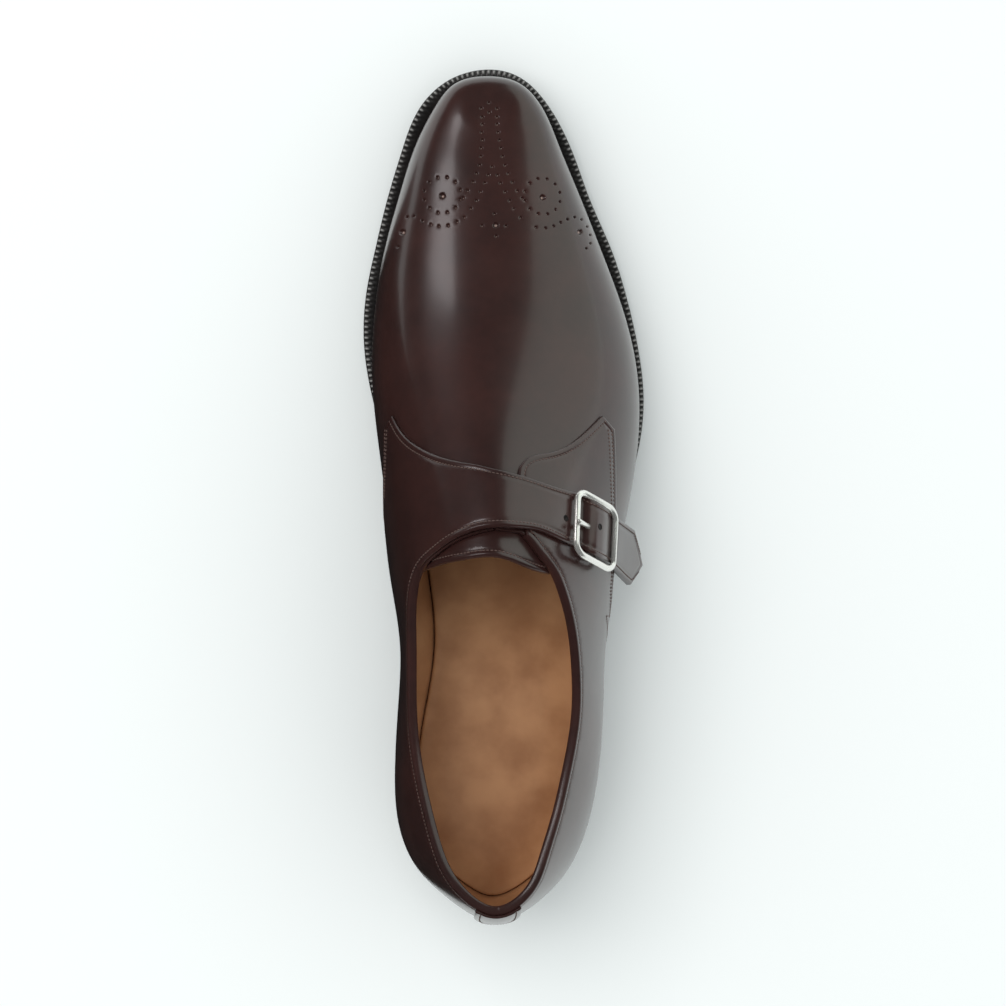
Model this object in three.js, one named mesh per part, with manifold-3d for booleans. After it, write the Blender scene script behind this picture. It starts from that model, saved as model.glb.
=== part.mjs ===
// A single monk strap shoe for the right foot, in millimetres.
// x runs from the medial to the lateral side, y from heel to toe, z up from the floor.
// Places along the shoe are shares of LENGTH from the toe tip, places across are shares
// of BALL_WIDTH, and heights above the floor are shares of INSTEP_HEIGHT.
import * as THREE from "three";
import { mergeVertices } from "three/addons/utils/BufferGeometryUtils.js";
import Module from "manifold-3d";

const wasm = await Module();
wasm.setup();

// Driving sizes of the last
const LENGTH = 305.5;
const BALL_WIDTH = 102.5;
const INSTEP_HEIGHT = 100;
const TOE_SPRING = 10;
const COLLAR_HEIGHT = 92;

// Driving sizes of the bottom
const OUTSOLE_THICKNESS = 5;
const WELT_THICKNESS = 3;
const INSOLE_THICKNESS = 3;
const HEEL_HEIGHT = 25;
const HEEL_LIFTS = 3;
const TOP_PIECE_THICKNESS = 6;
const HEEL_TAPER = 1.5;

// Driving sizes of the leather
const UPPER_WALL = 1.6;
const QUARTER_THICKNESS = 1;
const STRAP_THICKNESS = 2;
const TONGUE_THICKNESS = 1.6;
const GAP = 0.3;

// Last sections from toe to heel: the widest line (at, medial, lateral, bulge height), how far
// the feather edge tucks in below it, the ridge line over the top, and how full each flank is.
const SECTION_NAMES = ["at", "medial", "lateral", "bulge", "tuckMedial", "tuckLateral",
  "ridgeAt", "ridgeAcross", "ridge", "fullMedial", "fullLateral"];
const SECTIONS = [
  [0.0111, -0.063, -0.063, 0.25, 0.02, 0.02, 0.085, -0.055, 0.415, 0.74, 0.74],
  [0.0213, -0.184, 0.059, 0.25, 0.02, 0.02, 0.088, -0.055, 0.418, 0.74, 0.74],
  [0.0458, -0.246, 0.127, 0.24, 0.021, 0.021, 0.099, -0.055, 0.427, 0.73, 0.73],
  [0.0917, -0.316, 0.19, 0.23, 0.024, 0.024, 0.125, -0.056, 0.449, 0.71, 0.69],
  [0.1506, -0.373, 0.263, 0.22, 0.027, 0.027, 0.168, -0.059, 0.483, 0.69, 0.65],
  [0.216, -0.426, 0.341, 0.215, 0.029, 0.029, 0.224, -0.066, 0.53, 0.66, 0.6],
  [0.288, -0.46, 0.419, 0.22, 0.029, 0.029, 0.291, -0.075, 0.592, 0.64, 0.55],
  [0.36, -0.47, 0.467, 0.23, 0.033, 0.029, 0.36, -0.08, 0.68, 0.62, 0.5],
  [0.432, -0.453, 0.471, 0.26, 0.055, 0.031, 0.432, -0.078, 0.795, 0.58, 0.43],
  [0.511, -0.424, 0.435, 0.33, 0.092, 0.049, 0.511, -0.07, 0.93, 0.55, 0.37],
  [0.596, -0.398, 0.377, 0.4, 0.105, 0.065, 0.596, -0.062, 1.06, 0.57, 0.33],
  [0.684, -0.361, 0.33, 0.45, 0.09, 0.07, 0.68, -0.057, 1.13, 0.73, 0.3],
  [0.753, -0.368, 0.321, 0.47, 0.066, 0.06, 0.746, -0.055, 1.125, 0.63, 0.29],
  [0.825, -0.379, 0.305, 0.48, 0.046, 0.046, 0.808, -0.052, 1.1, 0.47, 0.25],
  [0.888, -0.367, 0.268, 0.48, 0.037, 0.037, 0.857, -0.05, 1.085, 0.41, 0.27],
  [0.94, -0.301, 0.2, 0.48, 0.033, 0.033, 0.89, -0.048, 1.08, 0.49, 0.34],
  [0.9718, -0.2, 0.111, 0.48, 0.031, 0.031, 0.907, -0.048, 1.08, 0.62, 0.5],
  [0.9955, -0.048, -0.048, 0.48, 0.03, 0.03, 0.913, -0.048, 1.08, 0.66, 0.66],
];

// Edge of the outsole, seen from above
const SOLE_NAMES = ["at", "medial", "lateral"];
const SOLE_EDGE = [
  [0, -0.053, -0.053],
  [0.0098, -0.182, 0.06],
  [0.0396, -0.289, 0.153],
  [0.0962, -0.364, 0.246],
  [0.1529, -0.415, 0.31],
  [0.2098, -0.456, 0.384],
  [0.2661, -0.49, 0.439],
  [0.3273, -0.497, 0.481],
  [0.4026, -0.458, 0.501],
  [0.4484, -0.42, 0.483],
  [0.5237, -0.359, 0.42],
  [0.6219, -0.315, 0.337],
  [0.7267, -0.322, 0.286],
  [0.8183, -0.347, 0.279],
  [0.8903, -0.33, 0.247],
  [0.9427, -0.263, 0.178],
  [0.9755, -0.161, 0.081],
  [0.9902, -0.047, -0.047],
];

// Bottom line of the outsole: flat under the ball, risen to the heel seat behind the arch
const BALL_FROM = 0.255;
const BALL_TO = 0.34;
const HEEL_BREAST = 0.75;
const SPRING_POWER = 2.2;

// Top line of the collar from the side: at, then medial and lateral heights in COLLAR_HEIGHTs
const TOPLINE = [
  [0.55, 1.4, 1.4],
  [0.575, 1.02, 1.2],
  [0.6, 0.9, 1.03],
  [0.63, 0.885, 0.965],
  [0.66, 0.88, 0.9],
  [0.7, 0.872, 0.86],
  [0.76, 0.865, 0.845],
  [0.82, 0.88, 0.862],
  [0.88, 0.913, 0.905],
  [0.94, 0.95, 0.95],
  [1.03, 1.02, 1.02],
];

// Mouth of the shoe over the instep, seen from above: across, at
const THROAT = [
  [-0.29, 0.63], [-0.332, 0.606], [-0.304, 0.5885], [-0.26, 0.5735], [-0.195, 0.5584],
  [-0.119, 0.5486], [-0.042, 0.5443], [0.04, 0.552], [0.09, 0.572], [0.142, 0.5957],
  [0.165, 0.613], [0.17, 0.63],
];

// Edges of the quarters, seen from above: across, at
const MEDIAL_FRONT = [
  [-0.422, 0.429], [-0.396, 0.4154], [-0.364, 0.4354], [-0.312, 0.4517], [-0.249, 0.4628],
  [-0.172, 0.4714], [-0.117, 0.4758],
];
const MEDIAL_REAR = [
  [-0.119, 0.5486], [-0.195, 0.5584], [-0.26, 0.5735], [-0.304, 0.5885], [-0.336, 0.606],
];
const LATERAL_FRONT = [
  [0.362, 0.431], [0.319, 0.4154], [0.261, 0.4337], [0.205, 0.4484], [0.122, 0.4596],
  [0.055, 0.4655], [0.02, 0.48], [0.024, 0.53],
];
const LATERAL_REAR = [[0.04, 0.552], [0.09, 0.572], [0.142, 0.5957], [0.165, 0.613], [0.17, 0.63]];

// Seam of the quarters to the vamp from the side: at, height. In front it runs along the flank,
// where SEAM_MEDIAL and SEAM_LATERAL give its place from above.
const SEAM_MEDIAL = -0.422;
const SEAM_LATERAL = 0.365;
const SEAM_DROP_MEDIAL = [[0.38, 0.36], [0.54, 0.345], [0.6, 0.31], [0.68, 0.26], [0.76, 0.2]];
const SEAM_DROP_LATERAL = [[0.38, 0.37], [0.54, 0.4], [0.61, 0.45], [0.66, 0.42], [0.73, 0.35],
  [0.8, 0.28]];

// Tongue, seen from above: its front end is under the vamp
const TONGUE = [
  [-0.2, 0.47], [-0.27, 0.52], [-0.262, 0.583], [-0.17, 0.576], [-0.08, 0.5725], [-0.017, 0.5755],
  [0.048, 0.5843], [0.114, 0.5931], [0.146, 0.596], [0.15, 0.52], [0.08, 0.47],
];

// Buckle frame, seen from above: its middle and half its sides as steps across and at
const BUCKLE_MIDDLE = [0.29, 0.548];
const BUCKLE_ALONG = [0.069, 0.0122];
const BUCKLE_ACROSS = [-0.006, 0.035];
const BUCKLE_WIRE = 2;
const BUCKLE_CORNER = 0.34;
const CORNER_SOFTNESS = 0.15;
const CENTRE_BAR = 1.2;
const PRONG_WIRE = 1.4;
const TAB_THICKNESS = 0.8;
const TAB_LENGTH = 3.6;
const TAB_WIDTH_ACROSS = 1.3;

// Centre bar: share of its half length, and how far its ends have risen towards the frame
const BAR_RISE = [[0.4, 0], [0.84, 0], [0.91, 0.3], [0.95, 1]];
const BAR_END = 0.99;

// Heel tab over the back seam: its rounded lower end as shares of its half width, out and up
const HEEL_TAB_WIDTH = 15.4;
const HEEL_TAB_LENGTH = 30;
const HEEL_TAB_FROM = 0.93;
const HEEL_TAB_END = [[1, 2], [0.8, 1], [0.45, 0.3]];

// Strap from the medial quarter to the frame, seen from above: front and rear edges
const STRAP = [
  [-0.16, 0.4715, -0.165, 0.5545],
  [-0.076, 0.4795, -0.078, 0.546],
  [0.008, 0.4851, 0.022, 0.5453],
  [0.119, 0.4969, 0.111, 0.5519],
  [0.185, 0.503, 0.175, 0.5615],
];
// Strap inside and past the frame: along the frame, front and rear edges across it, and how far
// its back stands off what it lies on at the left bar; the last rows fly free
const STRAP_END = [
  [-1, -0.86, 0.86, 0],
  [-0.8, -0.86, 0.86, 0.02],
  [-0.55, -0.86, 0.86, 0.4],
  [-0.22, -0.86, 0.86, 1],
  [0.22, -0.86, 0.86, 1],
  [0.48, -0.8, 0.86, 0.4],
  [0.7, -0.7, 0.88, 0.02],
  [1, -0.66, 0.95, 0],
  [1.4, -0.6, 1.06, null],
  [2.02, -0.5, 1.17, null],
  [2.6, 0.3, 0.36, null],
];

const COLOURS = {
  calf: [0x3a1f1a, 0.3, 0],
  sole: [0x171210, 0.55, 0],
  insole: [0xa9794d, 0.7, 0],
  metal: [0xb9b6ae, 0.25, 1],
};

// Passes that settle a spline's slopes
const SWEEPS = 60;

// Closed cubic spline through rows of numbers at the given knots, one period long
function closedSpline(knots, rows, period) {
  const count = rows.length;
  const step = knots.map((knot, i) => (i + 1 < count ? knots[i + 1] : knots[0] + period) - knot);
  const slopes = rows.map((row) => row.map(() => 0));
  for (let sweep = 0; sweep < SWEEPS; sweep++) {
    for (let i = 0; i < count; i++) {
      const before = (i + count - 1) % count;
      const after = (i + 1) % count;
      const a = 1 / step[before];
      const b = 1 / step[i];
      slopes[i] = rows[i].map((value, c) => {
        const pull = 3 * ((value - rows[before][c]) * a * a + (rows[after][c] - value) * b * b);
        return (pull - slopes[before][c] * a - slopes[after][c] * b) / (2 * (a + b));
      });
    }
  }
  return (t) => {
    const wrapped = knots[0] + ((((t - knots[0]) % period) + period) % period);
    let i = count - 1;
    while (i > 0 && knots[i] > wrapped) i--;
    const after = (i + 1) % count;
    const h = step[i];
    const u = (wrapped - knots[i]) / h;
    const keep = (1 + 2 * u) * (1 - u) * (1 - u);
    const lead = u * (1 - u) * (1 - u) * h;
    const trail = u * u * (u - 1) * h;
    return rows[i].map((value, c) => value * keep + rows[after][c] * (1 - keep)
      + slopes[i][c] * lead + slopes[after][c] * trail);
  };
}

// Open cubic spline through values at rising knots, with no bend at its ends
function openSpline(knots, values) {
  const last = knots.length - 1;
  const step = (i) => knots[i + 1] - knots[i];
  const grade = (i) => (values[i + 1] - values[i]) / step(i);
  const slopes = values.map(() => 0);
  for (let sweep = 0; sweep < SWEEPS; sweep++) {
    slopes[0] = (3 * grade(0) - slopes[1]) / 2;
    for (let i = 1; i < last; i++) {
      const a = 1 / step(i - 1);
      const b = 1 / step(i);
      const pull = 3 * (grade(i - 1) * a + grade(i) * b);
      slopes[i] = (pull - slopes[i - 1] * a - slopes[i + 1] * b) / (2 * (a + b));
    }
    slopes[last] = (3 * grade(last - 1) - slopes[last - 1]) / 2;
  }
  return (at) => {
    let i = last - 1;
    while (i > 0 && knots[i] > at) i--;
    const h = step(i);
    const u = (at - knots[i]) / h;
    const keep = (1 + 2 * u) * (1 - u) * (1 - u);
    return values[i] * keep + values[i + 1] * (1 - keep)
      + slopes[i] * u * (1 - u) * (1 - u) * h + slopes[i + 1] * u * u * (u - 1) * h;
  };
}

// A spline round the shoe: t runs from 0 at the toe to +1 (lateral) or -1 (medial) at the heel
function roundTheShoe(names, table, pick) {
  const rows = table.map((row) => Object.fromEntries(names.map((name, i) => [name, row[i]])));
  const across = (row, side) => (side < 0 ? row.medial : row.lateral) * BALL_WIDTH;
  const reach = [0];
  for (let i = 1; i < rows.length; i++) {
    const along = (rows[i].at - rows[i - 1].at) * LENGTH;
    const steps = [-1, 1].map((side) => Math.hypot(along,
      across(rows[i], side) - across(rows[i - 1], side)));
    reach.push(reach[i - 1] + (steps[0] + steps[1]) / 2);
  }
  const last = rows.length - 1;
  const knots = [];
  const values = [];
  for (let i = last; i > -last; i--) {
    const side = i > 0 ? -1 : 1;
    knots.push((side * reach[Math.abs(i)]) / reach[last]);
    values.push(pick(rows[Math.abs(i)], side));
  }
  return closedSpline(knots, values, 2);
}

const along = (share) => LENGTH * (0.5 - share);

function soleBottom(y) {
  const at = 0.5 - y / LENGTH;
  if (at < BALL_FROM) return TOE_SPRING * ((BALL_FROM - at) / BALL_FROM) ** SPRING_POWER;
  const rise = Math.min(Math.max((at - BALL_TO) / (HEEL_BREAST - BALL_TO), 0), 1);
  return HEEL_HEIGHT * rise * rise * (3 - 2 * rise);
}

const soleTop = (y) => soleBottom(y) + OUTSOLE_THICKNESS;

const rails = roundTheShoe(SECTION_NAMES, SECTIONS, (row, side) => [
  (side < 0 ? row.medial : row.lateral) * BALL_WIDTH,
  along(row.at),
  row.bulge * INSTEP_HEIGHT,
  (side < 0 ? row.tuckMedial : row.tuckLateral) * BALL_WIDTH,
  row.ridgeAt,
  side < 0 ? row.fullMedial : row.fullLateral,
]);

const column = (name) => SECTIONS.map((row) => row[SECTION_NAMES.indexOf(name)]);
const ridgeAcross = openSpline(column("ridgeAt"), column("ridgeAcross"));
const ridgeRise = openSpline(column("ridgeAt"), column("ridge"));

const soleEdge = roundTheShoe(SOLE_NAMES, SOLE_EDGE, (row, side) => [
  (side < 0 ? row.medial : row.lateral) * BALL_WIDTH,
  along(row.at),
]);

function bezier(a, b, c, d, u) {
  const w = 1 - u;
  return a.map((value, i) => value * w * w * w + 3 * b[i] * w * w * u + 3 * c[i] * w * u * u
    + d[i] * u * u * u);
}

// Small step along the table that the slopes and normals are measured with
const STEP = 1e-3;

function ridge(at) {
  const rise = (ridgeRise(at + STEP) - ridgeRise(at - STEP)) * INSTEP_HEIGHT;
  const run = -2 * STEP * LENGTH;
  const point = [ridgeAcross(at) * BALL_WIDTH, along(at), ridgeRise(at) * INSTEP_HEIGHT];
  return { point, slope: rise / run };
}

// Point of a curve moved towards the inside of the shoe, seen from above
function inset(curve, t, distance) {
  const [x, y] = curve(t);
  const ahead = curve(t + STEP);
  const behind = curve(t - STEP);
  const run = Math.hypot(ahead[0] - behind[0], ahead[1] - behind[1]);
  return [
    x + (distance * (ahead[1] - behind[1])) / run,
    y - (distance * (ahead[0] - behind[0])) / run,
  ];
}

const feather = (t) => inset(rails, t, rails(t)[3]);

// Straightness of the wall just above the feather edge, as a share of its rise
const FOOT_STAND = 0.45;

// Point of the last: v is 0 at the feather edge, 1 at the widest line and 2 on the ridge
function lastPoint(t, v) {
  const [x, y, z, , ridgeAt, full] = rails(t);
  const top = ridge(ridgeAt);
  if (v >= 2) return top.point;
  if (v >= 1) {
    const [topX, topY, topZ] = top.point;
    const handle = [topX + (x - topX) * full, topY + (y - topY) * full,
      topZ + top.slope * (y - topY) * full];
    return bezier([x, y, z], [x, y, z + (topZ - z) * full], handle, top.point, v - 1);
  }
  const [footX, footY] = feather(t);
  const foot = soleTop(footY) + GAP;
  const rise = (z - foot) * FOOT_STAND;
  return bezier([footX, footY, foot], [footX, footY, foot + rise], [x, y, z - rise], [x, y, z], v);
}

function lastNormal(t, v) {
  if (v >= 2) return new THREE.Vector3(0, -ridge(rails(t)[4]).slope, 1).normalize();
  const up = new THREE.Vector3(...lastPoint(t, Math.min(v + STEP, 2)));
  up.sub(new THREE.Vector3(...lastPoint(t, Math.max(v - STEP, 0))));
  const round = new THREE.Vector3(...lastPoint(t + STEP, v));
  round.sub(new THREE.Vector3(...lastPoint(t - STEP, v)));
  return up.cross(round).normalize();
}

// Closed solid from points and triangles
function solidOf(geometry) {
  geometry.deleteAttribute("normal");
  geometry.deleteAttribute("uv");
  const merged = mergeVertices(geometry, 1e-4);
  const corners = merged.index.array;
  const triangles = [];
  for (let i = 0; i < corners.length; i += 3) {
    const [a, b, c] = [corners[i], corners[i + 1], corners[i + 2]];
    if (a !== b && b !== c && a !== c) triangles.push(a, b, c);
  }
  const make = (triVerts) => new wasm.Manifold(new wasm.Mesh({
    numProp: 3,
    vertProperties: new Float32Array(merged.attributes.position.array),
    triVerts: new Uint32Array(triVerts),
  }));
  const made = make(triangles);
  return made.volume() < 0 ? make(triangles.reverse()) : made;
}

// Closed solid from a grid of rings that all run once round
function solidFromRings(rings, closeEnds) {
  const count = rings[0].length;
  const points = rings.flat(2);
  const triangles = [];
  const corner = (i, j) => i * count + (((j % count) + count) % count);
  for (let i = 0; i + 1 < rings.length; i++) {
    for (let j = 0; j < count; j++) {
      triangles.push(corner(i, j), corner(i + 1, j), corner(i + 1, j + 1));
      triangles.push(corner(i, j), corner(i + 1, j + 1), corner(i, j + 1));
    }
  }
  const cap = (i, turn) => {
    for (let j = 0; j < count / 2; j++) {
      const [a, b, c, d] = [corner(i, j), corner(i, j + 1), corner(i, -j - 1), corner(i, -j)];
      triangles.push(...(turn ? [a, c, b, a, d, c] : [a, b, c, a, c, d]));
    }
  };
  if (closeEnds.includes("first")) cap(0, false);
  if (closeEnds.includes("last")) cap(rings.length - 1, true);
  const geometry = new THREE.BufferGeometry();
  geometry.setAttribute("position", new THREE.Float32BufferAttribute(points, 3));
  geometry.setIndex(triangles);
  return solidOf(geometry);
}

// Stations round the shoe, closer at toe and heel, and levels up its wall
const STATIONS = 68;
const CLOSER_AT_ENDS = 0.5;
const LOWER_LEVELS = 3;
const UPPER_LEVELS = 9;
const stations = Array.from({ length: STATIONS }, (_, j) => {
  const turn = (2 * Math.PI * 2 * j) / STATIONS;
  return -1 + (2 * j) / STATIONS - (CLOSER_AT_ENDS * Math.sin(turn)) / (2 * Math.PI);
});

// Closed body of the last, grown or shrunk by an offset that may vary from point to point
function lastSolid(offset, drop = 0) {
  const grow = typeof offset === "function" ? offset : () => offset;
  const levels = [];
  for (let i = 0; i < LOWER_LEVELS; i++) levels.push(i / LOWER_LEVELS);
  for (let i = 0; i <= UPPER_LEVELS; i++) levels.push(1 + i / UPPER_LEVELS);
  const rings = levels.map((v) => stations.map((t) => {
    const round = v >= 2 ? Math.abs(t) : t;
    const point = lastPoint(round, v);
    return new THREE.Vector3(...point).addScaledVector(lastNormal(round, v), grow(point)).toArray();
  }));
  if (drop) rings.unshift(rings[0].map(([x, y, z]) => [x, y, z - drop]));
  return solidFromRings(rings, ["first"]);
}

// Leather of the last's own form between two offsets, open underneath
function jacket(inner, outer) {
  return lastSolid(outer).subtract(lastSolid(inner, OUTSOLE_THICKNESS));
}

const AXES = {
  x: new THREE.Matrix4().makeBasis(new THREE.Vector3(0, 1, 0), new THREE.Vector3(0, 0, 1),
    new THREE.Vector3(1, 0, 0)),
  y: new THREE.Matrix4().makeBasis(new THREE.Vector3(1, 0, 0), new THREE.Vector3(0, 0, 1),
    new THREE.Vector3(0, -1, 0)),
  z: new THREE.Matrix4(),
};

// Straight prism of an outline: along z it is drawn in x and y, along x in y and z, along y in x and z
function prism(outline, from, to, axis = "z") {
  const shape = new THREE.Shape(outline.map(([a, b]) => new THREE.Vector2(a, b)));
  const geometry = new THREE.ExtrudeGeometry(shape, { depth: to - from, bevelEnabled: false });
  geometry.translate(0, 0, axis === "y" ? -to : from);
  geometry.applyMatrix4(AXES[axis]);
  return solidOf(geometry);
}

// Smooth line through a few points, each a share of the named sizes
function smooth(points, count) {
  const line = new THREE.CatmullRomCurve3(points.map(([a, b]) => new THREE.Vector3(a, b, 0)),
    false, "centripetal");
  return line.getPoints(count).map(({ x, y }) => [x, y]);
}

const fromAbove = (points) => points.map(([across, at]) => [across * BALL_WIDTH, along(at)]);

// Everything of a form on the far side of these lies outside the shoe
const FAR = 2;
const FLOOR = -TOE_SPRING;
const OVERHEAD = FAR * INSTEP_HEIGHT;
const MIDDLE = SECTIONS[SECTIONS.length - 1][1] * BALL_WIDTH;

// The collar's cut runs between these places
const COLLAR_FROM = 0.55;
const COLLAR_TO = 1.03;
const OUTLINE_STEPS = 40;

// What lies above the collar's top line, and the mouth over the instep
function collarCutter() {
  const side = (index, from, to) => {
    const line = smooth(TOPLINE.map((row) => [row[0], row[index]]), OUTLINE_STEPS);
    const low = line.map(([at, height]) => [along(at), height * COLLAR_HEIGHT]);
    return prism([...low, [along(COLLAR_TO), OVERHEAD], [along(COLLAR_FROM), OVERHEAD]],
      from, to, "x");
  };
  const mouth = prism(fromAbove(smooth(THROAT, OUTLINE_STEPS)), INSOLE_THICKNESS + HEEL_HEIGHT, OVERHEAD);
  return side(1, -BALL_WIDTH, MIDDLE).add(side(2, MIDDLE, BALL_WIDTH)).add(mouth);
}

// What lies below a seam line drawn from the side
function belowSeam(drop) {
  const line = smooth(drop, 16).map(([at, height]) => [along(at), height * INSTEP_HEIGHT]);
  const [first, last] = [line[0][0], line[line.length - 1][0]];
  return prism([...line, [last, FLOOR], [first, FLOOR]], -BALL_WIDTH, BALL_WIDTH, "x");
}

// Region of one quarter: its shaped front and all of its own side behind the seam's start
function quarterRegion(front, rear, seam, side) {
  const outer = side * FAR;
  const seamEnd = 0.54;
  const joint = 0.61;
  const overlap = joint + 0.02;
  const edge = [[seam, seamEnd], [seam, front[0][1]], ...smooth(front, 24), ...smooth(rear, 16)];
  const tail = [[rear[rear.length - 1][0], overlap], [outer, overlap], [outer, seamEnd]];
  const inner = MIDDLE / BALL_WIDTH + (side * GAP) / 2 / BALL_WIDTH;
  const back = [[inner, joint], [outer, joint], [outer, 1 + joint], [inner, 1 + joint]];
  return prism(fromAbove([...edge, ...tail]), FLOOR, OVERHEAD)
    .add(prism(fromAbove(back), FLOOR, OVERHEAD));
}

// Point on the last's top seen from above at (x, y), raised along the normal by a lift
function plumb(x, y, lift) {
  let [aimX, aimY] = [x, y];
  let placed = new THREE.Vector3();
  for (let turn = 0; turn < 4; turn++) {
    let t = Math.sign(aimX - ridge(0.5 - aimY / LENGTH).point[0]) * (0.5 - aimY / LENGTH);
    let v = 1.5;
    for (let pass = 0; pass < 12; pass++) {
      let [near, far] = [0.02, 0.98];
      for (let k = 0; k < 24; k++) {
        const mid = (near + far) / 2;
        if (lastPoint(Math.sign(t) * mid, v)[1] > aimY) near = mid;
        else far = mid;
      }
      t = (Math.sign(t) * (near + far)) / 2;
      let [low, high] = [1, 2];
      for (let k = 0; k < 24; k++) {
        const mid = (low + high) / 2;
        if (Math.sign(t) * (lastPoint(t, mid)[0] - aimX) > 0) low = mid;
        else high = mid;
      }
      v = (low + high) / 2;
    }
    placed = new THREE.Vector3(...lastPoint(t, v)).addScaledVector(lastNormal(t, v), lift);
    aimX += x - placed.x;
    aimY += y - placed.y;
  }
  return placed;
}

// Heights above the last of the layers under the strap
const QUARTER_TOP = GAP + QUARTER_THICKNESS;
const STRAP_BACK = QUARTER_TOP + GAP;
const TAB_TOP = STRAP_BACK + TAB_THICKNESS;
const CENTRE_LIFT = TAB_TOP + GAP + CENTRE_BAR / 2;
const HUMP = CENTRE_LIFT + CENTRE_BAR / 2 + GAP + TAB_THICKNESS + GAP - STRAP_BACK;
const FRAME_LIFT = STRAP_BACK + STRAP_THICKNESS + 3 * GAP + BUCKLE_WIRE / 2;

// Place inside the buckle: a along the strap and b across it are 1 at the frame's sides
function buckleFromAbove(a, b) {
  const across = BUCKLE_MIDDLE[0] + a * BUCKLE_ALONG[0] + b * BUCKLE_ACROSS[0];
  const at = BUCKLE_MIDDLE[1] + a * BUCKLE_ALONG[1] + b * BUCKLE_ACROSS[1];
  return [across * BALL_WIDTH, along(at)];
}

const inBuckle = (a, b, lift) => plumb(...buckleFromAbove(a, b), lift);

// Ribbon thick towards its face. Each of its rows gives a point for each share of the way from
// the front edge to the rear edge.
function ribbon(rows, thickness) {
  const ACROSS = 6;
  const rings = rows.map((row, i) => {
    const [before, after] = [rows[Math.max(i - 1, 0)], rows[Math.min(i + 1, rows.length - 1)]];
    const back = [];
    const top = [];
    for (let k = 0; k <= ACROSS; k++) {
      const share = k / ACROSS;
      const forward = after(share).sub(before(share));
      const wide = row(Math.min(share + 0.2, 1)).sub(row(Math.max(share - 0.2, 0)));
      const face = wide.cross(forward).normalize();
      if (face.z < 0) face.negate();
      back.push(row(share));
      top.unshift(row(share).addScaledVector(face, thickness));
    }
    return [...back, ...top].map((point) => point.toArray());
  });
  return solidFromStrips(rings);
}

// Closed solid from equal closed sections, capped at both ends
function solidFromStrips(rings) {
  const count = rings[0].length;
  const triangles = [];
  const corner = (i, j) => i * count + (j % count);
  for (let i = 0; i + 1 < rings.length; i++) {
    for (let j = 0; j < count; j++) {
      triangles.push(corner(i, j), corner(i + 1, j), corner(i + 1, j + 1));
      triangles.push(corner(i, j), corner(i + 1, j + 1), corner(i, j + 1));
    }
  }
  const half = count / 2;
  for (let j = 0; j + 1 < half; j++) {
    const far = count - 1 - j;
    const last = rings.length - 1;
    triangles.push(corner(0, j), corner(0, j + 1), corner(0, far - 1));
    triangles.push(corner(0, j), corner(0, far - 1), corner(0, far));
    triangles.push(corner(last, j), corner(last, far - 1), corner(last, j + 1));
    triangles.push(corner(last, j), corner(last, far), corner(last, far - 1));
  }
  const geometry = new THREE.BufferGeometry();
  geometry.setAttribute("position", new THREE.Float32BufferAttribute(rings.flat(2), 3));
  geometry.setIndex(triangles);
  return solidOf(geometry);
}

// Rounded wire along points, closed in a ring or open with flat ends
function wire(points, diameter, closed) {
  const path = new THREE.CatmullRomCurve3(points, closed, "centripetal");
  const SIDES = 8;
  const steps = points.length * (closed ? 2 : 1);
  if (closed) return solidOf(new THREE.TubeGeometry(path, steps, diameter / 2, SIDES, true));
  const round = new THREE.Shape();
  round.absarc(0, 0, diameter / 2, 0, 2 * Math.PI);
  return solidOf(new THREE.ExtrudeGeometry(round, { steps, extrudePath: path, curveSegments: SIDES }));
}

function upper() {
  return jacket(-UPPER_WALL, 0).subtract(collarCutter());
}

// Rise of the strap from the quarter's own height to its height over the lateral quarter
const RISE_ACROSS = -0.3;
const RISE_REAR = 0.68;
const RISE_FRONT = 0.62;
const overTheLast = (x, y) => THREE.MathUtils.smoothstep(x, RISE_ACROSS * BALL_WIDTH, 0)
  * THREE.MathUtils.smoothstep(y, along(RISE_REAR), along(RISE_FRONT));

function strap() {
  const ROWS = 12;
  const fronts = fromAbove(smooth(STRAP.map((row) => row.slice(0, 2)), ROWS));
  const rears = fromAbove(smooth(STRAP.map((row) => row.slice(2, 4)), ROWS));
  const mix = THREE.MathUtils.lerp;
  const rows = fronts.map((front, i) => {
    const rear = rears[i];
    const lift = mix(GAP, STRAP_BACK, overTheLast((front[0] + rear[0]) / 2, rear[1]));
    return ((k) => plumb(mix(front[0], rear[0], k), mix(front[1], rear[1], k), lift));
  });
  const fastened = STRAP_END.filter((row) => row[3] !== null);
  fastened.forEach((row, i) => {
    const next = fastened[Math.min(i + 1, fastened.length - 1)];
    for (const share of i + 1 < fastened.length ? [0, 0.5] : [0]) {
      const [a, frontB, rearB, rise] = row.map((value, c) => mix(value, next[c], share));
      rows.push(((k) => inBuckle(a, mix(frontB, rearB, k), STRAP_BACK + rise * HUMP)));
    }
  });
  const [before, last] = rows.slice(-2);
  const flyTo = (edge, a, b) => {
    const [x, y] = buckleFromAbove(a, b);
    const [from, to] = [before(edge), last(edge)];
    const fall = (to.z - from.z) / Math.hypot(to.x - from.x, to.y - from.y);
    return new THREE.Vector3(x, y, to.z + fall * Math.hypot(x - to.x, y - to.y));
  };
  for (const [a, frontB, rearB] of STRAP_END.filter((row) => row[3] === null)) {
    rows.push(((k) => flyTo(0, a, frontB).lerp(flyTo(1, a, rearB), k)));
  }
  return ribbon(rows, STRAP_THICKNESS);
}

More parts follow.
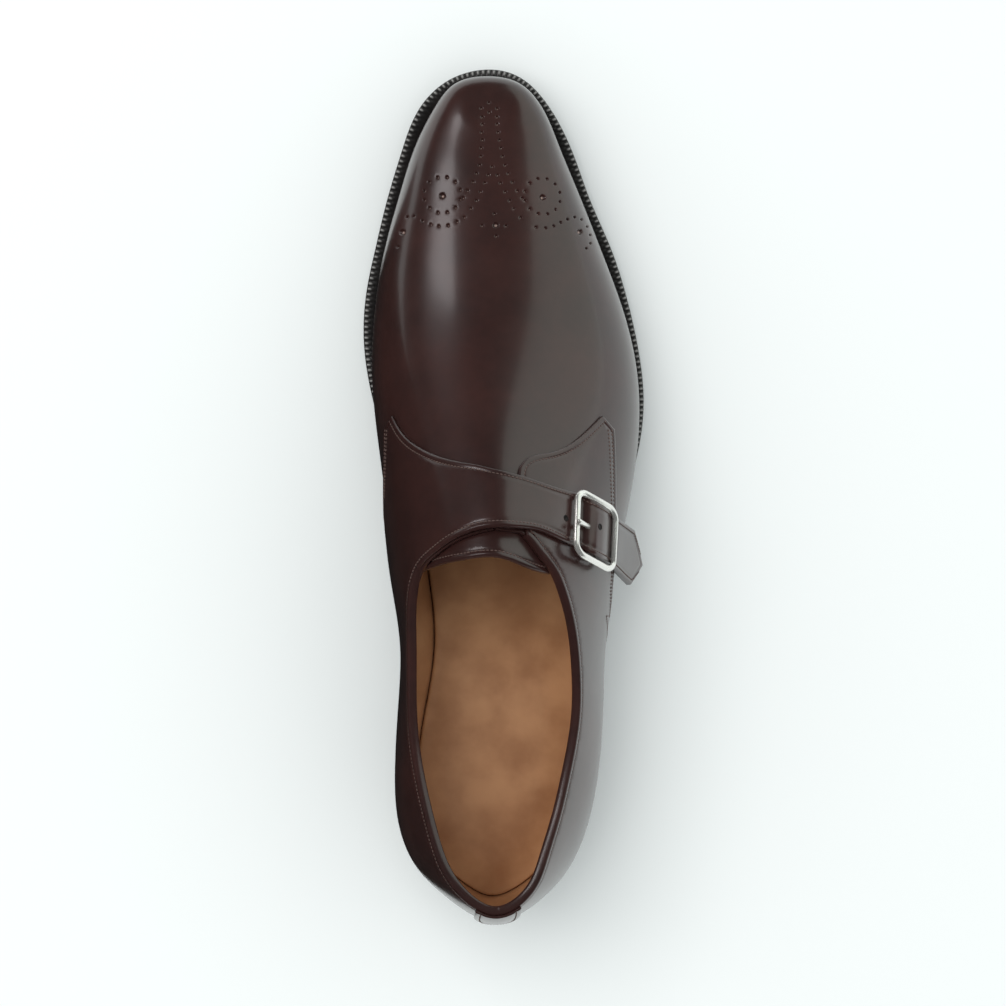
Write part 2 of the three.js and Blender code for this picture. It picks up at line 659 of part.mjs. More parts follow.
function medialQuarterStrap() {
  const inner = ([x, y]) => THREE.MathUtils.lerp(GAP, STRAP_BACK, overTheLast(x, y));
  const outer = ([x, y]) => THREE.MathUtils.lerp(QUARTER_TOP, STRAP_BACK + STRAP_THICKNESS,
    overTheLast(x, y));
  const region = quarterRegion(MEDIAL_FRONT, MEDIAL_REAR, SEAM_MEDIAL, -1);
  return jacket(inner, outer).intersect(region).subtract(collarCutter())
    .subtract(belowSeam(SEAM_DROP_MEDIAL)).add(strap()).subtract(prongHole());
}

function lateralQuarter() {
  const region = quarterRegion(LATERAL_FRONT, LATERAL_REAR, SEAM_LATERAL, 1);
  return jacket(GAP, QUARTER_TOP).intersect(region).subtract(collarCutter())
    .subtract(belowSeam(SEAM_DROP_LATERAL));
}

function tongue() {
  const top = -UPPER_WALL - GAP;
  const region = prism(fromAbove(smooth([...TONGUE, TONGUE[0]], 60)), HEEL_HEIGHT + OUTSOLE_THICKNESS
    + INSOLE_THICKNESS, OVERHEAD);
  return lastSolid(top).subtract(lastSolid(top - TONGUE_THICKNESS, OUTSOLE_THICKNESS)).intersect(region);
}

function heelTab() {
  const half = HEEL_TAB_WIDTH / 2;
  const low = COLLAR_HEIGHT - HEEL_TAB_LENGTH;
  const side = (sign) => [[MIDDLE + sign * half, OVERHEAD],
    ...HEEL_TAB_END.map(([out, up]) => [MIDDLE + sign * half * out, low + half * up])];
  const outline = [...side(-1), [MIDDLE, low], ...side(1).reverse()];
  const region = prism(outline, along(FAR), along(HEEL_TAB_FROM), "y");
  return jacket(STRAP_BACK, STRAP_BACK + QUARTER_THICKNESS).intersect(region).subtract(collarCutter());
}

function buckleFrame() {
  const corners = [[-1, -1], [1, -1], [1, 1], [-1, 1]];
  const soft = BUCKLE_CORNER * CORNER_SOFTNESS;
  const points = [];
  corners.forEach(([a, b], i) => {
    const [nextA, nextB] = corners[(i + 1) % 4];
    const [lastA, lastB] = corners[(i + 3) % 4];
    const cut = (to, from) => from + (to - from) * BUCKLE_CORNER / 2;
    points.push([cut(lastA, a), cut(lastB, b)], [a - a * soft, b - b * soft]);
    points.push([cut(nextA, a), cut(nextB, b)]);
    points.push([(a + nextA) / 2, (b + nextB) / 2]);
  });
  const ring = wire(points.map(([a, b]) => inBuckle(a, b, FRAME_LIFT)), BUCKLE_WIRE, true);
  const half = BAR_RISE.map(([b, rise]) => [b, CENTRE_LIFT + rise]);
  half.push([BAR_END, FRAME_LIFT]);
  const bar = [...half.map(([b, lift]) => [-b, lift]).reverse(), [0, CENTRE_LIFT], ...half];
  return ring.add(wire(bar.map(([b, lift]) => inBuckle(0, b, lift)), CENTRE_BAR, false));
}

// The prong leaves the centre bar, comes up through the strap and lies on the left bar
function prongPath() {
  const tip = FRAME_LIFT + BUCKLE_WIRE / 2 + GAP + PRONG_WIRE / 2;
  const route = [[-0.16, CENTRE_LIFT + 0.2], [-0.3, CENTRE_LIFT + 0.9], [-0.6, tip - 1.4],
    [-0.82, tip], [-1.04, tip]];
  return route.map(([a, lift]) => inBuckle(a, 0, lift));
}

const buckleProng = () => wire(prongPath(), PRONG_WIRE, false);

const prongHole = () => wire(prongPath(), PRONG_WIRE + 2 * GAP, false);

// Leather strip folded round the centre bar and stitched to the lateral quarter
function buckleTab() {
  const inner = CENTRE_BAR / 2 + GAP;
  const outer = inner + TAB_THICKNESS;
  const unit = Math.hypot(BUCKLE_ALONG[0] * BALL_WIDTH, BUCKLE_ALONG[1] * LENGTH);
  const shape = new THREE.Shape();
  shape.moveTo(TAB_LENGTH, -outer + 1.5 * TAB_THICKNESS);
  shape.lineTo(outer * 1.3, outer * 0.5);
  shape.absarc(0, 0, outer, Math.PI / 3, (3 * Math.PI) / 2);
  shape.lineTo(TAB_LENGTH, -outer);
  const eye = new THREE.Path();
  eye.absarc(0, 0, inner, 0, 2 * Math.PI);
  shape.holes.push(eye);
  const geometry = new THREE.ExtrudeGeometry(shape, {
    depth: TAB_WIDTH_ACROSS, steps: 3, bevelEnabled: false, curveSegments: 5,
  });
  const place = geometry.attributes.position;
  for (let i = 0; i < place.count; i++) {
    const b = place.getZ(i) - TAB_WIDTH_ACROSS / 2;
    const point = inBuckle(place.getX(i) / unit, b, CENTRE_LIFT + place.getY(i));
    place.setXYZ(i, point.x, point.y, point.z);
  }
  return solidOf(geometry).subtract(prongHole());
}

// Slab under the last between two heights, inside an edge drawn from above
function slab(edge, low, high) {
  const ring = (height) => stations.map((t) => {
    const [x, y] = edge(t);
    return [x, y, height(y)];
  });
  return solidFromRings([ring(low), ring(high)], ["first", "last"]);
}

const outsole = () => slab(soleEdge, soleBottom, soleTop);

// The welt goes under the lasted edge by this much, and clears the quarters behind the waist
const WELT_REACH = 2;
const WAIST = 0.62;

function welt() {
  const top = (y) => soleTop(y) + GAP + WELT_THICKNESS;
  const front = prism(fromAbove([[-FAR, -FAR], [FAR, -FAR], [FAR, HEEL_BREAST], [-FAR, HEEL_BREAST]]),
    FLOOR, OVERHEAD);
  const seat = prism(fromAbove([[-FAR, WAIST], [FAR, WAIST], [FAR, FAR], [-FAR, FAR]]), FLOOR, OVERHEAD);
  return slab(soleEdge, (y) => soleTop(y) + GAP, top).intersect(front)
    .subtract(lastSolid(GAP, WELT_REACH)).subtract(lastSolid(STRAP_BACK, WELT_REACH).intersect(seat));
}

function insole() {
  const edge = (t) => inset(feather, t, UPPER_WALL + GAP);
  return slab(edge, (y) => soleTop(y) + GAP, (y) => soleTop(y) + GAP + INSOLE_THICKNESS);
}

const BREAST_HOLLOW = 3;
const BREAST_SHARES = [0.2, 0.4, 0.6, 0.8];
const HEEL_STEPS = 40;
const HEEL_TURN = 2 * (HEEL_BREAST - 0.5);

// Layer of the heel: it follows the outsole's edge, drawn in more the lower it lies
function heelLayer(low, high) {
  const draw = HEEL_TAPER * (1 - high / HEEL_HEIGHT) + GAP;
  const edge = (t) => inset(soleEdge, t, draw);
  const points = [];
  for (let k = 0; k <= HEEL_STEPS; k++) {
    const t = 1 - HEEL_TURN + (k / HEEL_STEPS) * 2 * HEEL_TURN;
    const [x, y] = edge(t > 1 ? t - 2 : t);
    if (y < along(HEEL_BREAST)) points.push([x, y]);
  }
  const [first, last] = [points[0], points[points.length - 1]];
  const breast = BREAST_SHARES.map((k) => [THREE.MathUtils.lerp(last[0], first[0], k),
    THREE.MathUtils.lerp(last[1], first[1], k) - BREAST_HOLLOW * 4 * k * (1 - k)]);
  return prism([...points, ...breast], low, high);
}

const LIFT = (HEEL_HEIGHT - TOP_PIECE_THICKNESS) / HEEL_LIFTS;

function material([color, roughness, metalness]) {
  return new THREE.MeshStandardMaterial({ color, roughness, metalness });
}

function meshOf(name, solid, colour) {
  const { numProp, vertProperties, triVerts } = solid.getMesh();
  const geometry = new THREE.BufferGeometry();
  const points = [];
  for (let i = 0; i < vertProperties.length; i += numProp) points.push(...vertProperties.slice(i, i + 3));
  geometry.setAttribute("position", new THREE.Float32BufferAttribute(points, 3));
  geometry.setIndex([...triVerts]);
  geometry.computeVertexNormals();
  const mesh = new THREE.Mesh(geometry, material(colour));
  mesh.name = name;
  return mesh;
}

const shoe = new THREE.Group();
shoe.add(
  meshOf("upper", upper(), COLOURS.calf),
  meshOf("medial_quarter_strap", medialQuarterStrap(), COLOURS.calf),
  meshOf("lateral_quarter", lateralQuarter(), COLOURS.calf),
  meshOf("tongue", tongue(), COLOURS.calf),
  meshOf("heel_tab", heelTab(), COLOURS.calf),
  meshOf("buckle_frame", buckleFrame(), COLOURS.metal),
  meshOf("buckle_prong", buckleProng(), COLOURS.metal),
  meshOf("buckle_tab", buckleTab(), COLOURS.calf),
  meshOf("insole", insole(), COLOURS.insole),
  meshOf("welt", welt(), COLOURS.sole),
  meshOf("outsole", outsole(), COLOURS.sole),
  meshOf("top_piece", heelLayer(0, TOP_PIECE_THICKNESS - GAP), COLOURS.sole),
);
for (let k = 0; k < HEEL_LIFTS; k++) {
  const low = TOP_PIECE_THICKNESS + k * LIFT;
  shoe.add(meshOf(`heel_lift_${k + 1}`, heelLayer(low, low + LIFT - GAP), COLOURS.sole));
}

// The origin is on the floor under the middle of the whole shoe
const bounds = new THREE.Box3().setFromObject(shoe);
const centre = bounds.getCenter(new THREE.Vector3());
shoe.position.set(-centre.x, -centre.y, -bounds.min.z);

export default shoe;
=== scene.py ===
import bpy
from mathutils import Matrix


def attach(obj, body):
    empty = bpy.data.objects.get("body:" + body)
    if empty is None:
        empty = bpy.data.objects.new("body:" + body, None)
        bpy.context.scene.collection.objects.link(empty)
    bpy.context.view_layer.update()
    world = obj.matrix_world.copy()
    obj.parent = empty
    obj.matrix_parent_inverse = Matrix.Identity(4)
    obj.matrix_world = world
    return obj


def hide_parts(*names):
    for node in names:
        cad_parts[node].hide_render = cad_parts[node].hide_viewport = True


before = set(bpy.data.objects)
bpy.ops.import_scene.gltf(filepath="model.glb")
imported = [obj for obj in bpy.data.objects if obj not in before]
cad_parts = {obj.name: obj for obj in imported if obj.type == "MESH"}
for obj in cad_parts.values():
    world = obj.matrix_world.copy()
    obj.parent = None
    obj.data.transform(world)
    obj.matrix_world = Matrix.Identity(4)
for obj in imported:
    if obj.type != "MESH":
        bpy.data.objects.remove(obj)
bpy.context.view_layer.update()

import math

import bpy
import numpy as np
from mathutils import Matrix, Vector, kdtree
from mathutils.geometry import delaunay_2d_cdt

# Last. The shoe is pulled over a last for a right foot. Its sections, ridge and edge are
# rounded through a few given rows, in millimetres from the toe and the middle line.
LENGTH, BALL, INSTEP, COLLAR = 305.5, 102.5, 100.0, 92.0
TOE_SPRING, HEEL_HEIGHT, OUTSOLE, WELT, INSOLE = 10.0, 25.0, 5.0, 3.0, 3.0
WALL, QUARTER, STRAP, TONGUE, GAP = 1.6, 1.0, 2.0, 1.6, 0.3
ORIGIN = np.array([-0.145, 0.395, 0.0])
SECTIONS = [
    (0.0111, -0.063, -0.063, 0.25, 0.02, 0.02, 0.085, -0.055, 0.415, 0.74, 0.74),
    (0.0213, -0.184, 0.059, 0.25, 0.02, 0.02, 0.088, -0.055, 0.418, 0.74, 0.74),
    (0.0458, -0.246, 0.127, 0.24, 0.021, 0.021, 0.099, -0.055, 0.427, 0.73, 0.73),
    (0.0917, -0.316, 0.19, 0.23, 0.024, 0.024, 0.125, -0.056, 0.449, 0.71, 0.69),
    (0.1506, -0.373, 0.263, 0.22, 0.027, 0.027, 0.168, -0.059, 0.483, 0.69, 0.65),
    (0.216, -0.426, 0.341, 0.215, 0.029, 0.029, 0.224, -0.066, 0.53, 0.66, 0.6),
    (0.288, -0.46, 0.419, 0.22, 0.029, 0.029, 0.291, -0.075, 0.592, 0.64, 0.55),
    (0.36, -0.47, 0.467, 0.23, 0.033, 0.029, 0.36, -0.08, 0.68, 0.62, 0.5),
    (0.432, -0.453, 0.471, 0.26, 0.055, 0.031, 0.432, -0.078, 0.795, 0.58, 0.43),
    (0.511, -0.424, 0.435, 0.33, 0.092, 0.049, 0.511, -0.07, 0.93, 0.55, 0.37),
    (0.596, -0.398, 0.377, 0.4, 0.105, 0.065, 0.596, -0.062, 1.06, 0.57, 0.33),
    (0.684, -0.361, 0.33, 0.45, 0.09, 0.07, 0.68, -0.057, 1.13, 0.73, 0.3),
    (0.753, -0.368, 0.321, 0.47, 0.066, 0.06, 0.746, -0.055, 1.125, 0.63, 0.29),
    (0.825, -0.379, 0.305, 0.48, 0.046, 0.046, 0.808, -0.052, 1.1, 0.47, 0.25),
    (0.888, -0.367, 0.268, 0.48, 0.037, 0.037, 0.857, -0.05, 1.085, 0.41, 0.27),
    (0.94, -0.301, 0.2, 0.48, 0.033, 0.033, 0.89, -0.048, 1.08, 0.49, 0.34),
    (0.9718, -0.2, 0.111, 0.48, 0.031, 0.031, 0.907, -0.048, 1.08, 0.62, 0.5),
    (0.9955, -0.048, -0.048, 0.48, 0.03, 0.03, 0.913, -0.048, 1.08, 0.66, 0.66),
]
SOLE_EDGE = [
    (0, -0.053, -0.053), (0.0098, -0.182, 0.06), (0.0396, -0.289, 0.153),
    (0.0962, -0.364, 0.246), (0.1529, -0.415, 0.31), (0.2098, -0.456, 0.384),
    (0.2661, -0.49, 0.439), (0.3273, -0.497, 0.481), (0.4026, -0.458, 0.501),
    (0.4484, -0.42, 0.483), (0.5237, -0.359, 0.42), (0.6219, -0.315, 0.337),
    (0.7267, -0.322, 0.286), (0.8183, -0.347, 0.279), (0.8903, -0.33, 0.247),
    (0.9427, -0.263, 0.178), (0.9755, -0.161, 0.081), (0.9902, -0.047, -0.047),
]
BALL_FROM, BALL_TO, HEEL_BREAST, SPRING_POWER = 0.255, 0.34, 0.75, 2.2
FOOT_STAND = 0.45
STEP = 1e-3


def settle(lower, middle, upper, pulls, looped):
    """Slopes of a cubic spline from its three diagonals."""
    count = len(pulls)
    table = np.diag(middle) + np.diag(upper[:-1], 1) + np.diag(lower[1:], -1)
    if looped:
        table[0, -1] += lower[0]
        table[count - 1, 0] += upper[-1]
    return np.linalg.solve(table, pulls)


def hermite(knots, rows, slopes, place, at, step):
    """Value of a spline at places that lie in the steps numbered by at."""
    after = (at + 1) % len(rows)
    size = step[at]
    share = ((place - knots[at]) / size)[..., None]
    keep = (1 + 2 * share) * (1 - share) ** 2
    lead = share * (1 - share) ** 2 * size[..., None]
    trail = share * share * (share - 1) * size[..., None]
    return rows[at] * keep + rows[after] * (1 - keep) + slopes[at] * lead + slopes[after] * trail


def closed_spline(knots, rows, period):
    knots, rows = np.array(knots, float), np.array(rows, float)
    step = np.append(knots[1:], knots[0] + period) - knots
    near, far = 1 / np.roll(step, 1), 1 / step
    pulls = 3 * ((rows - np.roll(rows, 1, 0)) * near[:, None] ** 2
                 + (np.roll(rows, -1, 0) - rows) * far[:, None] ** 2)
    slopes = settle(near, 2 * (near + far), far, pulls, True)

    def value(place):
        place = knots[0] + np.mod(np.asarray(place, float) - knots[0], period)
        at = np.clip(np.searchsorted(knots, place, "right") - 1, 0, len(knots) - 1)
        return hermite(knots, rows, slopes, place, at, step)
    return value


def open_spline(knots, rows):
    knots, rows = np.array(knots, float), np.array(rows, float)
    rows = rows.reshape(len(knots), -1)
    step = np.diff(knots)
    grade = np.diff(rows, axis=0) / step[:, None]
    near, far = np.append(0, 1 / step), np.append(1 / step, 0)
    pulls = np.zeros_like(rows)
    pulls[1:-1] = 3 * (grade[:-1] * near[1:-1, None] + grade[1:] * far[1:-1, None])
    pulls[0], pulls[-1] = 3 * grade[0], 3 * grade[-1]
    middle = 2 * (near + far)
    middle[0] = middle[-1] = 2
    near[-1] = far[0] = 1
    slopes = settle(near, middle, far, pulls, False)

    def value(place):
        place = np.asarray(place, float)
        at = np.clip(np.searchsorted(knots, place, "right") - 1, 0, len(knots) - 2)
        return hermite(knots, rows, slopes, place, at, np.append(step, 1))
    return value


def round_the_shoe(table, pick):
    """Spline round the shoe: 0 at the toe, +1 or -1 at the heel, lateral side positive."""
    table = np.array(table, float)
    sides = table[:, 1:3] * BALL
    run = np.diff(table[:, 0])[:, None] * LENGTH
    chords = np.hypot(run, np.diff(sides, axis=0)).mean(axis=1)
    reach = np.append(0, np.cumsum(chords))
    last = len(table) - 1
    order = range(last, -last, -1)
    knots = [(-1 if i > 0 else 1) * reach[abs(i)] / reach[-1] for i in order]
    return closed_spline(knots, [pick(table[abs(i)], -1 if i > 0 else 1) for i in order], 2)


def along(share):
    return LENGTH * (0.5 - share)


def sole_bottom(y):
    at = 0.5 - y / LENGTH
    toe = TOE_SPRING * np.maximum((BALL_FROM - at) / BALL_FROM, 0) ** SPRING_POWER
    rise = np.clip((at - BALL_TO) / (HEEL_BREAST - BALL_TO), 0, 1)
    return toe + HEEL_HEIGHT * rise * rise * (3 - 2 * rise)


def sole_top(y):
    return sole_bottom(y) + OUTSOLE


rails = round_the_shoe(SECTIONS, lambda row, side: [
    row[1 if side < 0 else 2] * BALL, along(row[0]), row[3] * INSTEP,
    row[4 if side < 0 else 5] * BALL, row[6], row[9 if side < 0 else 10]])
ridge_line = open_spline([row[6] for row in SECTIONS], [(row[7], row[8]) for row in SECTIONS])
sole_edge = round_the_shoe(SOLE_EDGE, lambda row, side: [row[1 if side < 0 else 2] * BALL, along(row[0])])


def inset(curve, t, distance):
    """Place of a curve moved towards the inside of the shoe, seen from above."""
    run = curve(t + STEP)[..., :2] - curve(t - STEP)[..., :2]
    run = run / np.linalg.norm(run, axis=-1)[..., None]
    turned = np.stack([run[..., 1], -run[..., 0]], -1)
    return curve(t)[..., :2] + turned * np.asarray(distance)[..., None]


def bezier(a, b, c, d, u):
    u = u[..., None]
    w = 1 - u
    return a * w ** 3 + 3 * b * w * w * u + 3 * c * w * u * u + d * u ** 3


def join(*parts):
    return np.stack(np.broadcast_arrays(*parts), -1)


def last_point(t, v):
    """Point of the last: v is 0 at the feather edge, 1 at the widest line and 2 on the ridge."""
    t, v = np.broadcast_arrays(np.asarray(t, float), np.asarray(v, float))
    x, y, z, tuck, ridge_at, full = np.moveaxis(rails(t), -1, 0)
    over = ridge_line(ridge_at)
    rise = (ridge_line(ridge_at + STEP) - ridge_line(ridge_at - STEP))[..., 1] * INSTEP
    slope = rise / (-2 * STEP * LENGTH)
    top = join(over[..., 0] * BALL, along(ridge_at), over[..., 1] * INSTEP)
    reach = (y - top[..., 1]) * full
    handle = join(top[..., 0] + (x - top[..., 0]) * full, top[..., 1] + reach, top[..., 2] + slope * reach)
    wide = join(x, y, z)
    flank = join(x, y, z + (top[..., 2] - z) * full)
    high = bezier(wide, flank, handle, top, np.clip(v - 1, 0, 1))
    foot = inset(rails, t, tuck)
    base = sole_top(foot[..., 1]) + GAP
    stand = (z - base) * FOOT_STAND
    low = bezier(join(foot[..., 0], foot[..., 1], base), join(foot[..., 0], foot[..., 1], base + stand),
                 join(x, y, z - stand), wide, np.clip(v, 0, 1))
    return np.where((v >= 1)[..., None], high, low)


def last_normal(t, v):
    t, v = np.broadcast_arrays(np.asarray(t, float), np.asarray(v, float))
    up = last_point(t, np.minimum(v + STEP, 2)) - last_point(t, np.maximum(v - STEP, 0))
    flat = np.minimum(v, 2 - STEP)
    across = last_point(t + STEP, flat) - last_point(t - STEP, flat)
    normal = np.cross(up, across)
    return normal / np.linalg.norm(normal, axis=-1)[..., None]


def folded(a, b):
    """Place round the shoe for a share of the way to the heel and a step across the ridge."""
    return np.where(b < 0, -a, a), 2 - np.abs(b)


def at_heel(a, b):
    return 1 + a, b


def lifted(chart, place, lift=0.0):
    t, v = chart(place[..., 0], place[..., 1])
    return last_point(t, v) + last_normal(t, v) * np.asarray(lift)[..., None]


SEEDS = {
    folded: np.stack(np.meshgrid(np.linspace(0.01, 0.99, 140), np.linspace(-1.9, 1.9, 191)), -1),
    at_heel: np.stack(np.meshgrid(np.linspace(-0.1, 0.1, 61), np.linspace(0.02, 1.98, 99)), -1),
}


def find(chart, axes, targets, lift=0.0, side=0):
    """Chart places whose points lie at the targets, seen along the axis left out."""
    targets = np.atleast_2d(np.array(targets, float))
    seeds = SEEDS[chart].reshape(-1, 2)
    if side:
        seeds = seeds[seeds[:, 1] * side > 0]
    if 2 not in axes:
        seeds = seeds[np.abs(seeds[:, 1]) < 1.02]
    spots = lifted(chart, seeds)[:, axes]
    tree = kdtree.KDTree(len(spots))
    for i, spot in enumerate(spots):
        tree.insert((spot[0], spot[1], 0), i)
    tree.balance()
    place = np.array([seeds[tree.find((x, y, 0))[1]] for x, y in targets])
    nudges = np.array([[1e-4, 0], [0, 1e-4]])
    for _ in range(9):
        miss = targets - lifted(chart, place, lift)[:, axes]
        grades = [(lifted(chart, place + n, lift) - lifted(chart, place - n, lift))[:, axes] / 2e-4
                  for n in nudges]
        turn = grades[0][:, 0] * grades[1][:, 1] - grades[1][:, 0] * grades[0][:, 1]
        turn = np.where(np.abs(turn) < 1, np.sign(turn) + (turn == 0), turn)
        move = np.stack([miss[:, 0] * grades[1][:, 1] - miss[:, 1] * grades[1][:, 0],
                         miss[:, 1] * grades[0][:, 0] - miss[:, 0] * grades[0][:, 1]], -1)
        place = place + np.clip(move / turn[:, None], -0.05, 0.05)
    return place


def seen_from_above(points, lift=0.0, chart=folded):
    """Chart places for points given as shares across and along, as on the pattern."""
    points = np.array(points, float)
    return find(chart, (0, 1), np.stack([points[:, 0] * BALL, along(points[:, 1])], -1), lift)


def seen_from_side(points, side, tall):
    """Chart places for points given as shares along and up, on one side of the shoe."""
    points = np.array(points, float)
    return find(folded, (1, 2), np.stack([along(points[:, 0]), points[:, 1] * tall], -1), 0, side)


def through(points, spacing=0.5, chart=folded):
    """Smooth line through chart places, with its points an even step apart on the last."""
    points = np.array(points, float)
    chords = np.linalg.norm(np.diff(lifted(chart, points), axis=0), axis=1)
    knots = np.append(0, np.cumsum(chords))
    line = open_spline(knots, points)
    fine = line(np.linspace(0, knots[-1], 1500))
    run = np.append(0, np.cumsum(np.linalg.norm(np.diff(lifted(chart, fine), axis=0), axis=1)))
    count = max(int(run[-1] / spacing), 2)
    share = np.interp(np.linspace(0, run[-1], count + 1), run, np.linspace(0, knots[-1], 1500))
    return line(share)


def made(name, points, faces, finish, node=None, slot=None, smooth=True):
    """Piece from points in millimetres of the last; it rides on the shoe's one body."""
    mesh = bpy.data.meshes.new(name)
    mesh.from_pydata(((np.asarray(points) + ORIGIN) * 0.001).tolist(), [], [list(map(int, f)) for f in faces])
    mesh.validate()
    mesh.update()
    if smooth:
        mesh.shade_smooth()
    piece = bpy.data.objects.new(name, mesh)
    bpy.context.scene.collection.objects.link(piece)
    piece.data.materials.append(finish)
    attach(piece, "root")
    if node:
        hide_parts(node)
    return piece


class Tint:
    """A socket of a finish, with arithmetic."""

    def __init__(self, finish, socket):
        self.finish, self.socket = finish, socket

    def _math(self, operation, *values):
        return self.finish.node("ShaderNodeMath", {"operation": operation}, dict(enumerate(values)))

    def __add__(self, other):
        return self._math("ADD", self, other)

    def __sub__(self, other):
        return self._math("SUBTRACT", self, other)

    def __rsub__(self, other):
        return self._math("SUBTRACT", other, self)

    def __mul__(self, other):
        return self._math("MULTIPLY", self, other)

    __radd__, __rmul__ = __add__, __mul__

    def over(self, low, high):
        """0 below low and 1 above high, soft between them."""
        return self.finish.node("ShaderNodeMapRange", {"interpolation_type": "SMOOTHSTEP"},
                                {"Value": self, "From Min": low, "From Max": high})


class Finish:
    """A material whose nodes are made from values and other nodes' sockets."""

    def __init__(self, name, roughness, metallic=0.0, coat=0.0, coat_roughness=0.1, sheen=0.0):
        self.material = bpy.data.materials.new(name)
        self.material.use_nodes = True
        self.tree = self.material.node_tree
        self.shader = self.tree.nodes["Principled BSDF"]
        self.set({"Roughness": roughness, "Metallic": metallic, "Coat Weight": coat,
                  "Coat Roughness": coat_roughness, "Sheen Weight": sheen})
        self.place = self.node("ShaderNodeTexCoord", {}, {}, "Object")

    def node(self, kind, settings, values, output=0):
        made_node = self.tree.nodes.new(kind)
        for name, value in settings.items():
            setattr(made_node, name, value)
        self.fill(made_node, values)
        return Tint(self, made_node.outputs[output])

    def fill(self, target, values):
        for name, value in values.items():
            if isinstance(value, Tint):
                self.tree.links.new(value.socket, target.inputs[name])
            else:
                target.inputs[name].default_value = value

    def set(self, values):
        self.fill(self.shader, values)

    def noise(self, size, detail=2.0, rough=0.5, stretch=(1, 1, 1)):
        place = self.node("ShaderNodeMapping", {}, {"Vector": self.place, "Scale": stretch})
        return self.node("ShaderNodeTexNoise", {}, {"Vector": place, "Scale": 1 / size, "Detail": detail,
                                                    "Roughness": rough})

    def pores(self, size, randomness=1.0):
        return self.node("ShaderNodeTexVoronoi", {"feature": "F1"},
                         {"Vector": self.place, "Scale": 1 / size, "Randomness": randomness})

    def mix(self, share, low, high):
        colour = self.node("ShaderNodeMix", {"data_type": "RGBA"}, {}, 2)
        target = colour.socket.node
        self.fill(target, {0: share, 6: low, 7: high})
        return colour

    def bump(self, height, depth, strength=1.0):
        self.set({"Normal": self.node("ShaderNodeBump", {}, {"Height": height, "Distance": depth,
                                                             "Strength": strength})})


# Calf. Box calf dyed dark brown, burnished a little darker in clouds, with fine pores under
# a hard wax shine.
calf = Finish("polished_calf", 0.3, coat=0.55, coat_roughness=0.16)
CALF_DARK, CALF_RED = (0.024, 0.0095, 0.0085, 1), (0.041, 0.0138, 0.0115, 1)
clouds = calf.noise(0.035, 3, 0.55).over(0.3, 0.72)
grain = calf.pores(0.00055)
# HOLE_PINK goes on the floors of the punched holes, marked by the punched attribute: a painted reflection, a
# light spot in each hole
HOLE_PINK = (0.3, 0.2, 0.17, 1)
punched = calf.node("ShaderNodeAttribute", {"attribute_name": "punched"}, {}, 2)
leather = calf.mix(clouds * 0.75 + calf.noise(0.0035, 2).over(0.3, 0.8) * 0.25, CALF_DARK, CALF_RED)
calf.set({"Base Color": calf.mix(punched.over(0.2, 0.9), leather, HOLE_PINK),
          "Roughness": 0.27 + 0.09 * calf.noise(0.012, 2)})
calf.bump(grain * 0.6 + calf.noise(0.0011, 2) * 0.4, 0.00002, 0.35)


# Upper. One wholecut vamp lasted over the whole shoe, calf outside, open at the mouth and
# underneath, with a medallion punched into the toe.
MOUTH_FRONT = [(-0.304, 0.5885), (-0.26, 0.5735), (-0.195, 0.5584), (-0.119, 0.5486), (-0.042, 0.5443),
               (0.04, 0.552), (0.09, 0.572), (0.142, 0.5957), (0.165, 0.613)]
TOPLINE = [(0.6, 0.9, 1.03), (0.63, 0.885, 0.965), (0.66, 0.88, 0.9), (0.7, 0.872, 0.86),
           (0.76, 0.865, 0.845), (0.82, 0.88, 0.862), (0.88, 0.913, 0.905), (0.94, 0.95, 0.95),
           (1.03, 1.02, 1.02)]
topline = open_spline([row[0] for row in TOPLINE], [row[1:] for row in TOPLINE])


def topline_places(side, shares):
    """Chart places of the collar's top line for shares of the way round to the heel."""
    places = []
    for share in shares:
        v = np.linspace(1, 2, 300)
        points = last_point(share * side, v)
        lines = topline(0.5 - points[:, 1] / LENGTH)[:, 0 if side < 0 else 1] * COLLAR
        i = int(np.argmax(points[:, 2] > lines))
        over, under = points[i, 2] - lines[i], points[i - 1, 2] - lines[i - 1]
        places.append((share, side * (2 - (v[i] - (v[i] - v[i - 1]) * over / (over - under)))))
    return places


medial_side = topline_places(-1, np.linspace(0.655, 1, 12))
lateral_side = topline_places(1, np.linspace(0.665, 1, 12))
front = seen_from_above(MOUTH_FRONT)
mouth = through([*reversed(medial_side), *front, *lateral_side], 0.5)


def mouth_top(t):
    """Level of the mouth's edge, or of the ridge in front of it, all round the shoe."""
    sides = [mouth[mouth[:, 1] * side > 0] for side in (-1, 1)]
    sides = [line[np.argsort(line[:, 0])] for line in sides]
    reach = [np.interp(np.abs(t), line[:, 0], np.abs(line[:, 1]), left=0) for line in sides]
    return 2 - np.where(t < 0, reach[0], reach[1])


def nearest(lines):
    """Function that gives the distance from points to the nearest of some dense lines."""
    points = np.concatenate(lines)
    tree = kdtree.KDTree(len(points))
    for i, point in enumerate(points):
        tree.insert(point, i)
    tree.balance()
    return lambda spots: np.array([tree.find(spot)[2] for spot in spots])


def inside(spots, loop):
    """Which flat places lie inside a closed line."""
    x, y = spots[:, 0][:, None], spots[:, 1][:, None]
    (ax, ay), (bx, by) = loop.T, np.roll(loop, -1, 0).T
    crosses = (ay > y) != (by > y)
    reach = ax + (y - ay) * (bx - ax) / np.where(by == ay, 1e-12, by - ay)
    return (crosses & (x < reach)).sum(axis=1) % 2 == 1


def triangulate(loop, spots):
    """Triangles over flat places that fill a closed line."""
    count = len(loop)
    corners = np.concatenate([loop, spots])
    edges = [(i, (i + 1) % count) for i in range(count)]
    flat, _, faces = delaunay_2d_cdt([Vector(p) for p in corners], edges, [], 1, 1e-5)[:3]
    return np.array([tuple(p) for p in flat]), np.array([list(face) for face in faces])


